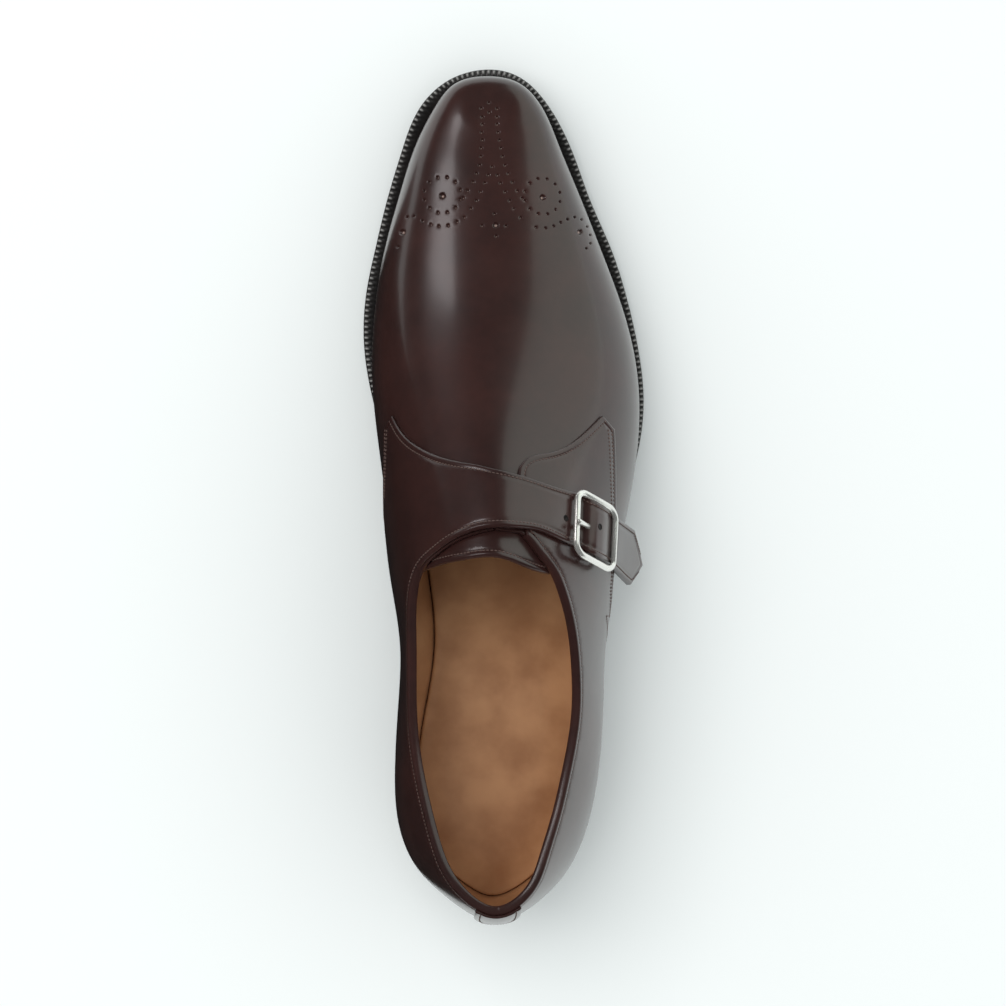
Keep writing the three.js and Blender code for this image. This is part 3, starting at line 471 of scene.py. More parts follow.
def borders(faces):
    """Edges that only one triangle has, in that triangle's turn."""
    pairs = np.concatenate([faces[:, [0, 1]], faces[:, [1, 2]], faces[:, [2, 0]]])
    known = {(a, b) for a, b in pairs.tolist()}
    return [(a, b) for a, b in known if (b, a) not in known]


# Small punched holes round the ends of the pattern, then the larger ones: from the toe, and
# across the last
PUNCHED = [
    (-6.3, 14.1), (-9.1, 16.1), (-3.4, 16.2), (-6.2, 17.6), (-8.8, 19.3), (-3.5, 19.3), (-8.7, 22),
    (-3.5, 22), (-9.1, 25), (-3.1, 25), (-8.8, 27.8), (-2.6, 27.8), (-9.3, 30.7), (-2.1, 30.7),
    (-9.4, 33.8), (-1.6, 33.8), (-9.9, 37), (-0.7, 37), (-11.1, 40), (0.4, 40), (-12.3, 43.1),
    (1.9, 43.1), (-14.3, 46.3), (3.6, 46.3), (-15.8, 48.9), (5.3, 48.9), (-5.4, 37.5), (-6.8, 40.6),
    (-3.5, 40.6), (-8.1, 43.5), (-2.5, 43.5), (-9.7, 46.7), (-0.8, 46.7), (-11.1, 49.9), (0.8, 49.9),
    (-13.2, 52.8), (2.3, 52.8), (-15.5, 56), (4.6, 56), (-18.1, 57.6), (-21.2, 58.8), (-24.6, 59),
    (-27.5, 58.4), (-30.3, 57), (-33.3, 55.1), (-35.7, 55.2), (10, 59.4), (13.5, 59.6), (16.5, 58.8),
    (19.1, 57.4), (21.7, 56.1), (24.4, 55.1), (27.1, 55.7), (29.3, 58.1), (30.4, 61.1), (30.3, 64.3),
    (28.6, 66.3), (-39.1, 66), (-4.7, 54.7), (-9.2, 59), (-0.7, 59.1), (-4.2, 62.8),
]
ROSETTES = [(-23.2, 47.7), (12.6, 48.1)]
ROSETTE_RADIUS, ROSETTE_HOLES = 6.6, 12
LARGE = [(-23.2, 48.1), (12.6, 48.5), (-4.3, 58.8), (-37.5, 60.7), (26.3, 60.4)]
SMALL_HOLE, LARGE_HOLE = 0.48, 1.05

COLUMNS, ROWS, INNER_ROWS = 560, 100, 12
TOE_COLUMN, TOE_ROW = 76, 54
turns = -1 + 2 * np.arange(COLUMNS) / COLUMNS
tops = mouth_top(turns)
tops[tops > 1.999] = 2
levels = np.arange(ROWS + 1) / ROWS
outer = last_point(turns[None], levels[:, None] * tops[None])
outer_normal = last_normal(turns[None], levels[:, None] * tops[None])
below = np.linspace(1, 0, INNER_ROWS + 1)
inner = last_point(turns[None], below[:, None] * tops[None])
inner = inner - WALL * last_normal(turns[None], below[:, None] * tops[None])
rim = outer[-1:] - 0.5 * WALL * outer_normal[-1:]
upper_points = np.concatenate([outer, rim, inner]).reshape(-1, 3)
upper_faces = []
toe = COLUMNS // 2
for i in range(len(outer) + 1 + len(inner)):
    after = (i + 1) % (len(outer) + 1 + len(inner))
    for j in range(COLUMNS):
        k = (j + 1) % COLUMNS
        on_ridge = ROWS <= i <= ROWS + 1 and tops[j] == 2 and tops[k] == 2
        in_toe = TOE_ROW <= i < ROWS and toe - TOE_COLUMN <= j < toe + TOE_COLUMN
        if not on_ridge and not in_toe:
            upper_faces.append((i * COLUMNS + j, i * COLUMNS + k, after * COLUMNS + k, after * COLUMNS + j))

# The toe's top is filled afresh round the punched holes
column = lambda j: [outer[i, j] for i in range(ROWS, TOE_ROW, -1)]
toe_loop = np.array([*column(toe - TOE_COLUMN), *outer[TOE_ROW, toe - TOE_COLUMN:toe + TOE_COLUMN + 1],
                     *reversed(column(toe + TOE_COLUMN))][:-1])
holes = [(x, s, SMALL_HOLE) for x, s in PUNCHED] + [(x, s, LARGE_HOLE) for x, s in LARGE]
for x, s in ROSETTES:
    for k in range(ROSETTE_HOLES):
        angle = 2 * math.pi * (k + 0.5) / ROSETTE_HOLES
        holes.append((x + ROSETTE_RADIUS * math.cos(angle), s + ROSETTE_RADIUS * math.sin(angle), SMALL_HOLE))
HOLE_SIDES = 12
ring_turns = 2 * math.pi * np.arange(HOLE_SIDES) / HOLE_SIDES
ring = np.stack([np.cos(ring_turns), np.sin(ring_turns)], -1)
centres = np.array([(x, LENGTH / 2 - s) for x, s, _ in holes])
radii = np.array([radius for _, _, radius in holes])
RIMS = (0.5, 0.2, 0.0)
rims = [centres[:, None] + ring[None] * (radii + grow)[:, None, None] for grow in RIMS]
spots = []
kept = set()
for i in range(TOE_ROW + 1, ROWS):
    for j in range(toe - TOE_COLUMN + 1, toe + TOE_COLUMN):
        spot = outer[i, j]
        cell = tuple((spot / 0.62).round().astype(int))
        if cell in kept:
            continue
        if (np.hypot(*(centres - spot[:2]).T) < radii + 0.85).any():
            continue
        kept.add(cell)
        spots.append(spot[:2])
spots = np.array(spots)
flat, toe_faces = triangulate(toe_loop[:, :2], np.concatenate([spots, *[r.reshape(-1, 2) for r in rims]]))
middles = flat[toe_faces].mean(axis=1)
in_hole = (np.hypot(middles[:, None, 0] - centres[None, :, 0], middles[:, None, 1] - centres[None, :, 1])
           < radii[None] * 0.97).any(axis=1)
toe_faces = toe_faces[~in_hole]
places = find(folded, (0, 1), flat)
toe_points = lifted(folded, places)
toe_points[:len(toe_loop)] = toe_loop
toe_normals = last_normal(*folded(places[:, 0], places[:, 1]))
owner = np.hypot(*(flat[:, None] - centres[None]).transpose(2, 0, 1)).argmin(axis=1)
from_middle = np.hypot(*(flat - centres[owner]).T) - radii[owner]
toe_points -= toe_normals * np.interp(from_middle, [0, 0.2, 0.5], [0.14, 0.03, 0])[:, None]
hole_edges = [(a, b) for a, b in borders(toe_faces) if from_middle[a] < 0.05 and from_middle[b] < 0.05]
hole_rim = sorted({a for edge in hole_edges for a in edge})
deep = {a: len(toe_points) + i for i, a in enumerate(hole_rim)}
HOLE_DEPTH = 0.8
middle_places = find(folded, (0, 1), centres)
bottoms = lifted(folded, middle_places, -HOLE_DEPTH)
deeper = toe_points[hole_rim] * 0.85 + lifted(folded, middle_places)[owner[hole_rim]] * 0.15
deeper = deeper - toe_normals[hole_rim] * HOLE_DEPTH * 0.85
first_bottom = len(toe_points) + len(hole_rim)
pit_faces = [(b, a, deep[a], deep[b]) for a, b in hole_edges]
pit_faces += [(deep[b], deep[a], first_bottom + owner[a]) for a, b in hole_edges]
toe_points = np.concatenate([toe_points, deeper, bottoms])
shift = len(upper_points)
turned = np.cross(*(toe_points[toe_faces[0][k]] - toe_points[toe_faces[0][0]] for k in (1, 2)))[2] > 0
toe_all = [tuple(f) for f in toe_faces] + pit_faces
upper_faces += [tuple(int(a) + shift for a in (f if turned else reversed(f))) for f in toe_all]


def weld(piece, distance=0.004):
    """Joins points that lie together and turns the faces outwards."""
    bpy.ops.object.select_all(action="DESELECT")
    bpy.context.view_layer.objects.active = piece
    piece.select_set(True)
    bpy.ops.object.mode_set(mode="EDIT")
    bpy.ops.mesh.select_all(action="SELECT")
    bpy.ops.mesh.remove_doubles(threshold=distance * 0.001)
    bpy.ops.mesh.normals_make_consistent(inside=False)
    bpy.ops.object.mode_set(mode="OBJECT")
    piece.select_set(False)


upper = made("upper_calf", np.concatenate([upper_points, toe_points]), upper_faces, calf.material,
             "upper", "calf")
# Marks the hole floors, where the calf finish paints a light pink reflection
hole_floor = np.zeros(len(upper.data.vertices))
hole_floor[-len(bottoms):] = 1
upper.data.attributes.new("punched", "FLOAT", "POINT").data.foreach_set("value", hole_floor)
weld(upper)


# Quarters. Two pieces of the same calf, stitched over the upper with their edges skived and
# rounded. The medial one runs on as the strap across the instep.
def leftwards(line, chart):
    """Chart step that moves a line one millimetre to its left, over the last."""
    t, v = chart(line[:, 0], line[:, 1])
    runs = np.gradient(lifted(chart, line), axis=0)
    aside = np.cross(last_normal(t, v), runs)
    aside /= np.linalg.norm(aside, axis=1)[:, None]
    nudge = 1e-4
    grades = [(lifted(chart, line + n) - lifted(chart, line - n)) / (2 * nudge)
              for n in (np.array([nudge, 0]), np.array([0, nudge]))]
    dots = lambda one, other: (one * other).sum(axis=1)
    aa, ab, bb = dots(grades[0], grades[0]), dots(grades[0], grades[1]), dots(grades[1], grades[1])
    pa, pb = dots(grades[0], aside), dots(grades[1], aside)
    steps = np.stack([pa * bb - pb * ab, pb * aa - pa * ab], -1) / (aa * bb - ab * ab)[:, None]
    flow = np.gradient(line, axis=0)
    return steps * np.sign((flow[:, 0] * steps[:, 1] - flow[:, 1] * steps[:, 0]).mean())


def rounded(distance, radius=0.75, least=0.35):
    """Share of a leather's thickness at a distance from its edge."""
    near = 1 - np.clip(distance / radius, 0, 1)
    return least + (1 - least) * np.sqrt(1 - near * near)


STITCH_FROM_EDGE, GROOVE_DEPTH, GROOVE_WIDTH = 2.1, 0.2, 0.42


def stitched(distance, rows=(STITCH_FROM_EDGE,)):
    """Sink of the leather along its stitch rows."""
    return -GROOVE_DEPTH * sum(np.exp(-((distance - row) / GROOVE_WIDTH) ** 2) for row in rows)


FLAT = np.array([320.0, 55.0])
RINGS = (0.1, 0.25, 0.45, 0.75, 1.15, 1.6, 1.9, 2.1, 2.3, 2.6)


def panel(parts, base, thickness, chart=folded, spacing=1.05, relief=stitched, rings=RINGS, beyond=()):
    """Leather between lines that follow each other round it; the lines marked True are cut edges."""
    loop = np.concatenate([line[:-1] for line, _ in parts])
    area = (loop[:, 0] * np.roll(loop[:, 1], -1) - loop[:, 1] * np.roll(loop[:, 0], -1)).sum()
    cut = nearest([*(lifted(chart, line) for line, free in parts if free), *beyond])
    border = nearest([lifted(chart, loop)])
    spots = []
    closed = np.concatenate([loop[-1:], loop, loop[:1]])
    steps = leftwards(closed, chart)[1:-1] * np.sign(area)
    for ring in rings:
        moved = loop + steps * ring
        moved = moved[inside(moved, loop)]
        spots.append(moved[border(lifted(chart, moved)) > ring * 0.93])
    low, high = loop.min(axis=0), loop.max(axis=0)
    a, b = np.meshgrid(np.arange(low[0], high[0], spacing / FLAT[0]),
                       np.arange(low[1], high[1], spacing * 0.87 / FLAT[1]))
    a = a + (np.arange(len(a)) % 2)[:, None] * spacing / FLAT[0] / 2
    grid = np.stack([a.ravel(), b.ravel()], -1)
    grid = grid[inside(grid, loop)]
    spots.append(grid[border(lifted(chart, grid)) > rings[-1] + spacing * 0.45])
    flat, faces = triangulate(loop * FLAT, np.concatenate(spots) * FLAT)
    places = flat / FLAT
    t, v = chart(places[:, 0], places[:, 1])
    under, normal = last_point(t, v), last_normal(t, v)
    amount = lambda value: value(under) if callable(value) else np.full(len(under), value)
    distance = cut(under)
    top = amount(base) + amount(thickness) * rounded(distance)
    if relief:
        top = top + relief(distance)
    face = np.cross(under[faces[:, 1]] - under[faces[:, 0]], under[faces[:, 2]] - under[faces[:, 0]])
    if (face * normal[faces[:, 0]]).sum() < 0:
        faces = faces[:, ::-1]
    count = len(under)
    walls = [(b, a, a + count, b + count) for a, b in borders(faces)]
    points = np.concatenate([under + normal * top[:, None], under + normal * amount(base)[:, None]])
    return points, [*faces.tolist(), *(faces[:, ::-1] + count).tolist(), *walls]


def soft_step(x, low, high):
    share = np.clip((x - low) / (high - low), 0, 1)
    return share * share * (3 - 2 * share)


QUARTER_TOP = GAP + QUARTER
STRAP_BACK = QUARTER_TOP + GAP


def over_lateral(points):
    """How far the strap has climbed from the upper to the top of the lateral quarter."""
    return soft_step(points[..., 0], -0.3 * BALL, 0) * soft_step(points[..., 1], along(0.68), along(0.62))


def strap_base(points):
    return GAP + (STRAP_BACK - GAP) * over_lateral(points)


def strap_leather(points):
    return QUARTER + (STRAP - QUARTER) * over_lateral(points)


def side_seam(side, plan, drop):
    """Seam of a quarter: along the flank, then down to the feather edge behind the arch."""
    places = np.concatenate([seen_from_above(plan), seen_from_side(drop, side, INSTEP)])
    foot = [(places[-1, 0] + 0.012, 2 * side)]
    return through(np.concatenate([places, foot]), 0.8)


def quarter_back(side, seam, collar):
    """Heel seam and the lasted edge underneath, from the collar round to the seam's end."""
    levels = np.linspace(collar[-1, 1], 2 * side, 70)
    heel_line = np.stack([np.ones(70), levels], -1)
    shares = np.linspace(1, seam[-1, 0], 240)
    feather = np.stack([shares, np.full(240, 2.0 * side)], -1)
    return heel_line, np.concatenate([feather, seam[-1:]])


MEDIAL_TIP, MEDIAL_CHAMFER = (-0.396, 0.4154), (-0.422, 0.429)
MEDIAL_FRONT = [(-0.364, 0.4354), (-0.312, 0.4517), (-0.249, 0.4628), (-0.172, 0.4714), (-0.117, 0.4758)]
MEDIAL_SEAM = [(-0.422, 0.429), (-0.422, 0.46), (-0.422, 0.49)]
MEDIAL_DROP = [(0.56, 0.335), (0.6, 0.31), (0.64, 0.285)]
STRAP_WIDTH = 24
NEAR_EDGE = np.array([0, *RINGS]) / STRAP_WIDTH
MIDDLE_SHARES = np.linspace(NEAR_EDGE[-1], 1 - NEAR_EDGE[-1], 20)[1:-1]
SHARES = np.concatenate([NEAR_EDGE, MIDDLE_SHARES, 1 - NEAR_EDGE[::-1]])
heel_turn = int(np.argmax(mouth[:, 1] > 0))
medial_collar = mouth[:heel_turn][::-1]
start = int(np.argmin(np.abs(lifted(folded, medial_collar[:80])[:, 0] + 0.119 * BALL)))
medial_collar = medial_collar[start:]
medial_front = through(seen_from_above([MEDIAL_TIP, *MEDIAL_FRONT]), 0.4)
ends = np.stack([lifted(folded, medial_front[-1:])[0, :2], lifted(folded, medial_collar[:1])[0, :2]])
joint = find(folded, (0, 1), ends[0] + (ends[1] - ends[0]) * SHARES[:, None])
joint[0], joint[-1] = medial_front[-1], medial_collar[0]
medial_seam = side_seam(-1, MEDIAL_SEAM, MEDIAL_DROP)
medial_heel, medial_feather = quarter_back(-1, medial_seam, medial_collar)
chamfer = through(seen_from_above([MEDIAL_CHAMFER, MEDIAL_TIP]), 0.4)
chamfer[0], chamfer[-1] = medial_seam[0], medial_front[0]
medial_parts = [(medial_front, True), (joint, False), (medial_collar, True), (medial_heel, False),
                (medial_feather, False), (medial_seam[::-1], True), (chamfer, True)]

# The strap's edges from above: over the instep through listed points, then in steps of the buckle
BUCKLE_MIDDLE = np.array([0.29 * BALL, along(0.548)])
BUCKLE_ALONG = np.array([0.069 * BALL, -0.0122 * LENGTH])
BUCKLE_ACROSS = np.array([-0.006 * BALL, -0.035 * LENGTH])
FRONT_EDGE = [(-0.076, 0.4795), (0.008, 0.4851), (0.119, 0.4969), (0.185, 0.503)]
REAR_EDGE = [(-0.078, 0.546), (0.022, 0.5453), (0.111, 0.5519), (0.175, 0.5615)]
IN_BUCKLE = [(-0.8, -0.86, 0.86), (-0.2, -0.86, 0.86), (0.4, -0.84, 0.86), (1, -0.76, 0.93),
             (1.5, -0.74, 1.04), (1.98, -0.72, 1.14)]
STRAP_TIP = (2.62, 0.27)
STRAP_ROWS, TIP_ROWS = 150, 26
TAB_THICKNESS, CENTRE_BAR, BUCKLE_WIRE, PRONG_WIRE = 0.8, 1.2, 2.4, 1.8
CENTRE_LIFT = STRAP_BACK + TAB_THICKNESS + GAP + CENTRE_BAR / 2
HUMP = CENTRE_LIFT + CENTRE_BAR / 2 + GAP + TAB_THICKNESS + GAP - STRAP_BACK
FRAME_LIFT = STRAP_BACK + STRAP + 3 * GAP + BUCKLE_WIRE / 2


def in_buckle(a, b):
    return BUCKLE_MIDDLE + np.asarray(a)[..., None] * BUCKLE_ALONG + np.asarray(b)[..., None] * BUCKLE_ACROSS


def buckle_steps(plan):
    """Steps along and across the buckle of flat places, 1 at its right-hand and lower bars."""
    turned = np.linalg.inv(np.stack([BUCKLE_ALONG, BUCKLE_ACROSS], -1))
    return (plan - BUCKLE_MIDDLE) @ turned.T


def along_buckle(plan):
    return buckle_steps(plan)[..., 0]


def strap_rise(plan):
    a = along_buckle(plan)
    return 0.88 * HUMP * soft_step(a, -1.02, -0.1) * (1 - soft_step(a, 0.05, 1.0))


shares_of = lambda rows: [(x * BALL, along(at)) for x, at in rows]
front_marks = np.array([ends[0], *shares_of(FRONT_EDGE), *(in_buckle(a, low) for a, low, _ in IN_BUCKLE)])
rear_marks = np.array([ends[1], *shares_of(REAR_EDGE), *(in_buckle(a, high) for a, _, high in IN_BUCKLE)])
chords = sum(np.linalg.norm(np.diff(line, axis=0), axis=1) for line in (front_marks, rear_marks))
marks = np.append(0, np.cumsum(chords / 2))
steps = np.linspace(0, marks[-1], STRAP_ROWS)
front_plan, rear_plan = open_spline(marks, front_marks)(steps), open_spline(marks, rear_marks)(steps)
tip = in_buckle(*STRAP_TIP)
to_tip = (np.arange(1, TIP_ROWS + 1) / TIP_ROWS)[:, None] * 0.985
front_plan = np.concatenate([front_plan, front_plan[-1] + (tip - front_plan[-1]) * to_tip])
rear_plan = np.concatenate([rear_plan, rear_plan[-1] + (tip - rear_plan[-1]) * to_tip])
plan = front_plan[:, None] + (rear_plan - front_plan)[:, None] * SHARES[None, :, None]
held = int((along_buckle(plan).max(axis=1) < 1.05).sum())
flat = plan[:held].reshape(-1, 2)
lift = strap_base(flat) + strap_rise(flat)
eased = np.clip((np.arange(held) / 30), 0, 1).repeat(len(SHARES))
places = find(folded, (0, 1), flat, lift * eased)
turn, level = folded(places[:, 0], places[:, 1])
under = last_point(turn, level)
strap_normal = last_normal(turn, level).reshape(held, -1, 3)
raised = (strap_base(under) + strap_rise(flat))[:, None]
back = (under + last_normal(turn, level) * raised).reshape(held, -1, 3)
leather = strap_leather(under).reshape(held, -1)
free = buckle_steps(plan[held:])
held_row = buckle_steps(plan[held - 1])
falls = ((back[-1] - back[-9])[:, 2] / (held_row - buckle_steps(plan[held - 9]))[:, 0]).mean()
flying = join(plan[held:, :, 0], plan[held:, :, 1], np.interp(free[..., 1], held_row[:, 1], back[-1, :, 2])
              + falls * (free[..., 0] - np.interp(free[..., 1], held_row[:, 1], held_row[:, 0])))
back = np.concatenate([back, flying])
leather = np.concatenate([leather, np.full(flying.shape[:2], STRAP)])
face = np.cross(np.gradient(back, axis=1), np.gradient(back, axis=0))
face /= np.linalg.norm(face, axis=-1)[..., None]
face *= np.sign(face[..., 2].mean())
own = np.clip((np.arange(len(back)) - 2) / 30, 0, 1)[:, None, None]
face[:held] = strap_normal + (face[:held] - strap_normal) * own[:held]
face /= np.linalg.norm(face, axis=-1)[..., None]
ground = under.reshape(held, -1, 3)
held_edges = [ground[:, 0], ground[:, -1]]
from_held = nearest([*held_edges, lifted(folded, medial_front), lifted(folded, medial_collar)])
from_free = nearest([back[:, 0], back[:, -1], back[-1]])
distance = np.concatenate([from_held(ground.reshape(-1, 3)), from_free(back[held:].reshape(-1, 3))])
distance = distance.reshape(leather.shape)
top = back + face * (leather * rounded(distance) + stitched(distance))[..., None]
medial_points, medial_faces = panel(medial_parts, strap_base, strap_leather,
                                    beyond=held_edges)
strap_count = len(SHARES)
panel_count = len(medial_points) // 2
joint_first = len(medial_front) - 1
ease = (1 - soft_step(np.arange(len(top)), 0, 16))[:, None, None]
top += (medial_points[joint_first:joint_first + strap_count] - top[0]) * ease
joint_low = joint_first + panel_count
back += (medial_points[joint_low:joint_low + strap_count] - back[0]) * ease
at_joint = set(range(joint_first, joint_first + strap_count))
medial_faces = [f for f in medial_faces if len(f) == 3 or not all(i % panel_count in at_joint for i in f)]
strap_points = np.concatenate([top, back]).reshape(-1, 3)
strap_faces = []
low = len(back) * strap_count
for i in range(len(back) - 1):
    for j in range(strap_count - 1):
        a, b = i * strap_count + j, (i + 1) * strap_count + j
        strap_faces += [(a, b, b + 1, a + 1), (a + low, a + low + 1, b + low + 1, b + low)]
    for j in (0, strap_count - 1):
        a, b = i * strap_count + j, (i + 1) * strap_count + j
        wall = (a, a + low, b + low, b)
        strap_faces.append(wall if j == 0 else wall[::-1])
last_row = (len(back) - 1) * strap_count
strap_faces += [(last_row + j + 1, last_row + j, last_row + j + low, last_row + j + 1 + low)
                for j in range(strap_count - 1)]
both = np.concatenate([medial_points, strap_points])
both_faces = medial_faces + [tuple(a + len(medial_points) for a in f) for f in strap_faces]
medial = made("medial_quarter_strap_calf", both, both_faces, calf.material, "medial_quarter_strap", "calf")
weld(medial, 0.02)

LATERAL_TIP, LATERAL_CHAMFER = (0.319, 0.4154), (0.362, 0.431)
LATERAL_FRONT = [(0.261, 0.4337), (0.205, 0.4484), (0.122, 0.4596), (0.055, 0.4655), (0.026, 0.475),
                 (0.022, 0.5)]
LATERAL_SEAM = [(0.362, 0.431), (0.365, 0.46), (0.365, 0.5), (0.365, 0.54), (0.363, 0.58)]
LATERAL_DROP = [(0.64, 0.43), (0.69, 0.385), (0.74, 0.335)]
lateral_collar = mouth[heel_turn:]
start = int(np.argmin(np.abs(lifted(folded, lateral_collar[:60])[:, 0] - 0.04 * BALL)))
lateral_collar = lateral_collar[start:]
lateral_front = np.concatenate([seen_from_above([LATERAL_TIP, *LATERAL_FRONT]), lateral_collar[:1]])
lateral_front = through(lateral_front, 0.4)
lateral_seam = side_seam(1, LATERAL_SEAM, LATERAL_DROP)
lateral_heel, lateral_feather = quarter_back(1, lateral_seam, lateral_collar)
chamfer = through(seen_from_above([LATERAL_CHAMFER, LATERAL_TIP]), 0.4)
chamfer[0], chamfer[-1] = lateral_seam[0], lateral_front[0]
lateral_parts = [(lateral_front, True), (lateral_collar, True), (lateral_heel, False),
                 (lateral_feather, False), (lateral_seam[::-1], True), (chamfer, True)]
lateral_points, lateral_faces = panel(lateral_parts, GAP, QUARTER)
made("lateral_quarter_calf", lateral_points, lateral_faces, calf.material, "lateral_quarter", "calf")


# Collar. The topline of both quarters is turned over the lining and stitched down, which
# leaves one soft dark roll round the mouth.
def swept(name, middles, axes, section, finish, closed=False, **more):
    """Skin of a section, given as steps along two axes, carried along a line."""
    sides = np.asarray(section)
    if sides.ndim == 2:
        sides = np.broadcast_to(sides, (len(middles), *sides.shape))
    rings = middles[:, None] + axes[0][:, None] * sides[..., :1] + axes[1][:, None] * sides[..., 1:]
    count = sides.shape[1]
    faces = []
    for i in range(len(middles) if closed else len(middles) - 1):
        k = (i + 1) % len(middles)
        for j in range(count):
            n = (j + 1) % count
            faces.append((i * count + j, i * count + n, k * count + n, k * count + j))
    if not closed:
        last = (len(middles) - 1) * count
        faces += [tuple(range(count))[::-1], tuple(range(last, last + count))]
    piece = made(name, rings.reshape(-1, 3), faces, finish, **more)
    weld(piece, 0.001)
    return piece


def edge_frame(line, chart=folded):
    """Points, normals and directions out of the leather for a line near the mouth."""
    t, v = chart(line[:, 0], line[:, 1])
    points, normals = last_point(t, v), last_normal(t, v)
    upward = last_point(t, np.minimum(v + 0.01, 2)) - last_point(t, np.minimum(v + 0.01, 2) - 0.02)
    outward = np.cross(normals, np.gradient(points, axis=0))
    outward /= np.linalg.norm(outward, axis=1)[:, None]
    return points, normals, outward * np.sign((outward * upward).sum(axis=1))[:, None]


ROLL_OUTER = [(-0.5, -1.3), (0.0, -1.7), (0.1, -1.1), (0.12, -0.4), (-0.08, 0.2), (-0.5, 0.6)]
ROLL_INNER = [(0.7, 0.72), (0.15, 0.4), (-0.1, -0.2), (-0.14, -1.2), (-0.02, -2.3), (0.5, -1.7)]
roll_front = int(np.argmin(np.abs(lifted(folded, medial_collar[:120])[:, 0] + 0.26 * BALL)))
lateral_mouth = mouth[heel_turn + start:]
roll_line = np.concatenate([medial_collar[roll_front:], lateral_mouth[::-1][1:]])
roll_points, roll_normals, roll_up = edge_frame(roll_line)
medial_count = len(medial_collar) - roll_front
outer_face = np.full(len(roll_line), QUARTER_TOP)
outer_face[:medial_count] = (strap_base(roll_points) + strap_leather(roll_points))[:medial_count]
inner_face = np.full(len(roll_line), -WALL - 0.35)
taper = np.clip(np.arange(len(roll_line)) / 40, 0, 1)[:, None]
section = np.concatenate([
    np.stack([outer_face[:, None] + np.array(ROLL_OUTER)[:, 0], np.broadcast_to(
        np.array(ROLL_OUTER)[:, 1], (len(roll_line), len(ROLL_OUTER)))], -1),
    np.stack([inner_face[:, None] + np.array(ROLL_INNER)[:, 0], np.broadcast_to(
        np.array(ROLL_INNER)[:, 1], (len(roll_line), len(ROLL_INNER)))], -1)], axis=1)
section[..., 1] -= (1 - soft_step(taper, 0, 1)) * 1.2
section[..., 0] = section[..., 0] * (0.35 + 0.65 * soft_step(taper, 0, 1)) + 0.1
collar = swept("collar_roll", roll_points, (roll_normals, roll_up), section, calf.material, slot="calf")
subdivide = collar.modifiers.new("round", "SUBSURF")
subdivide.levels = subdivide.render_levels = 1
bpy.context.view_layer.objects.active = collar
bpy.ops.object.modifier_apply(modifier="round")

# Lining. Natural tan calf glued inside the quarters and the vamp.
tan = Finish("tan_lining", 0.55, coat=0.05)
TAN_LIGHT, TAN_DARK = (0.5, 0.26, 0.125, 1), (0.33, 0.15, 0.065, 1)
tan.set({"Base Color": tan.mix(tan.noise(0.02, 4).over(0.3, 0.75), TAN_LIGHT, TAN_DARK)})
tan.bump(tan.pores(0.0007), 0.00002, 0.3)
LINING_COLUMNS, LINING_ROWS = 320, 34
around = -1 + 2 * np.arange(LINING_COLUMNS) / LINING_COLUMNS
lining_top = mouth_top(around) - 0.035
lining_top = np.minimum(lining_top, np.interp(np.abs(around), [0.36, 0.56], [1.4, 2]))
rise = np.linspace(0, 1, LINING_ROWS)[:, None] * lining_top[None]
skins = [last_point(around[None], rise) + last_normal(around[None], rise) * depth
         for depth in (-WALL - 0.45, -WALL - 0.08)]
rows = np.concatenate([skins[0], skins[1][::-1]])
lining_faces = []
for i in range(len(rows)):
    for j in range(LINING_COLUMNS):
        k, n = (j + 1) % LINING_COLUMNS, (i + 1) % len(rows)
        lining_faces.append((i * LINING_COLUMNS + j, i * LINING_COLUMNS + k, n * LINING_COLUMNS + k,
                             n * LINING_COLUMNS + j))
lining = made("lining", rows.reshape(-1, 3), lining_faces, tan.material, slot="insole_leather")
weld(lining, 0.001)


# Tongue. A calf flap under the strap, sewn in below the vamp, with a stitched rear edge.
TONGUE_REAR = [(-0.345, 0.597), (-0.3, 0.5885), (-0.25, 0.582), (-0.17, 0.576), (-0.08, 0.5725),
               (-0.017, 0.5755), (0.048, 0.5843), (0.114, 0.5931), (0.146, 0.596)]
TONGUE_HIDDEN = [(0.15, 0.52), (0.08, 0.47), (-0.2, 0.47), (-0.31, 0.52)]
tongue_rear = through(seen_from_above(TONGUE_REAR), 0.4)
tongue_hidden = [tongue_rear[-1:], seen_from_above(TONGUE_HIDDEN), tongue_rear[:1]]
tongue_hidden = through(np.concatenate(tongue_hidden), 0.8)
tongue_base = -WALL - GAP - TONGUE
tongue_points, tongue_faces = panel([(tongue_rear, True), (tongue_hidden, False)], tongue_base, TONGUE)
made("tongue_calf", tongue_points, tongue_faces, calf.material, "tongue", "calf")

# Heel tab. A small dog tail of calf over the back seam, stitched round its edge.
TAB_HALF, TAB_LOW = 7.7, 62.0
heel_x = -0.048 * BALL
tab_low = find(at_heel, (0, 2), [(heel_x + side * x, z) for side, x, z in (
    (1, TAB_HALF, TAB_LOW + 14), (1, 0.8 * TAB_HALF, TAB_LOW + 6), (1, 0.45 * TAB_HALF, TAB_LOW + 1.8),
    (1, 0, TAB_LOW), (-1, 0.45 * TAB_HALF, TAB_LOW + 1.8), (-1, 0.8 * TAB_HALF, TAB_LOW + 6),
    (-1, TAB_HALF, TAB_LOW + 14))], STRAP_BACK)
turn_at = lambda a: np.where(np.asarray(a) > 0, np.asarray(a) - 1, 1 + np.asarray(a))
corner = find(at_heel, (0, 2), [(heel_x + TAB_HALF, COLLAR - 2), (heel_x - TAB_HALF, COLLAR - 2)], STRAP_BACK)
corner[:, 1] = mouth_top(turn_at(corner[:, 0]))
tab_edge = through(np.concatenate([corner[:1], tab_low, corner[1:]]), 0.4, at_heel)
tab_a = np.linspace(corner[1, 0], corner[0, 0], 40)
tab_top = np.stack([tab_a, mouth_top(turn_at(tab_a))], -1)
tab_top[0], tab_top[-1] = tab_edge[-1], tab_edge[0]
tab_parts = [(tab_edge, True), (tab_top, False)]
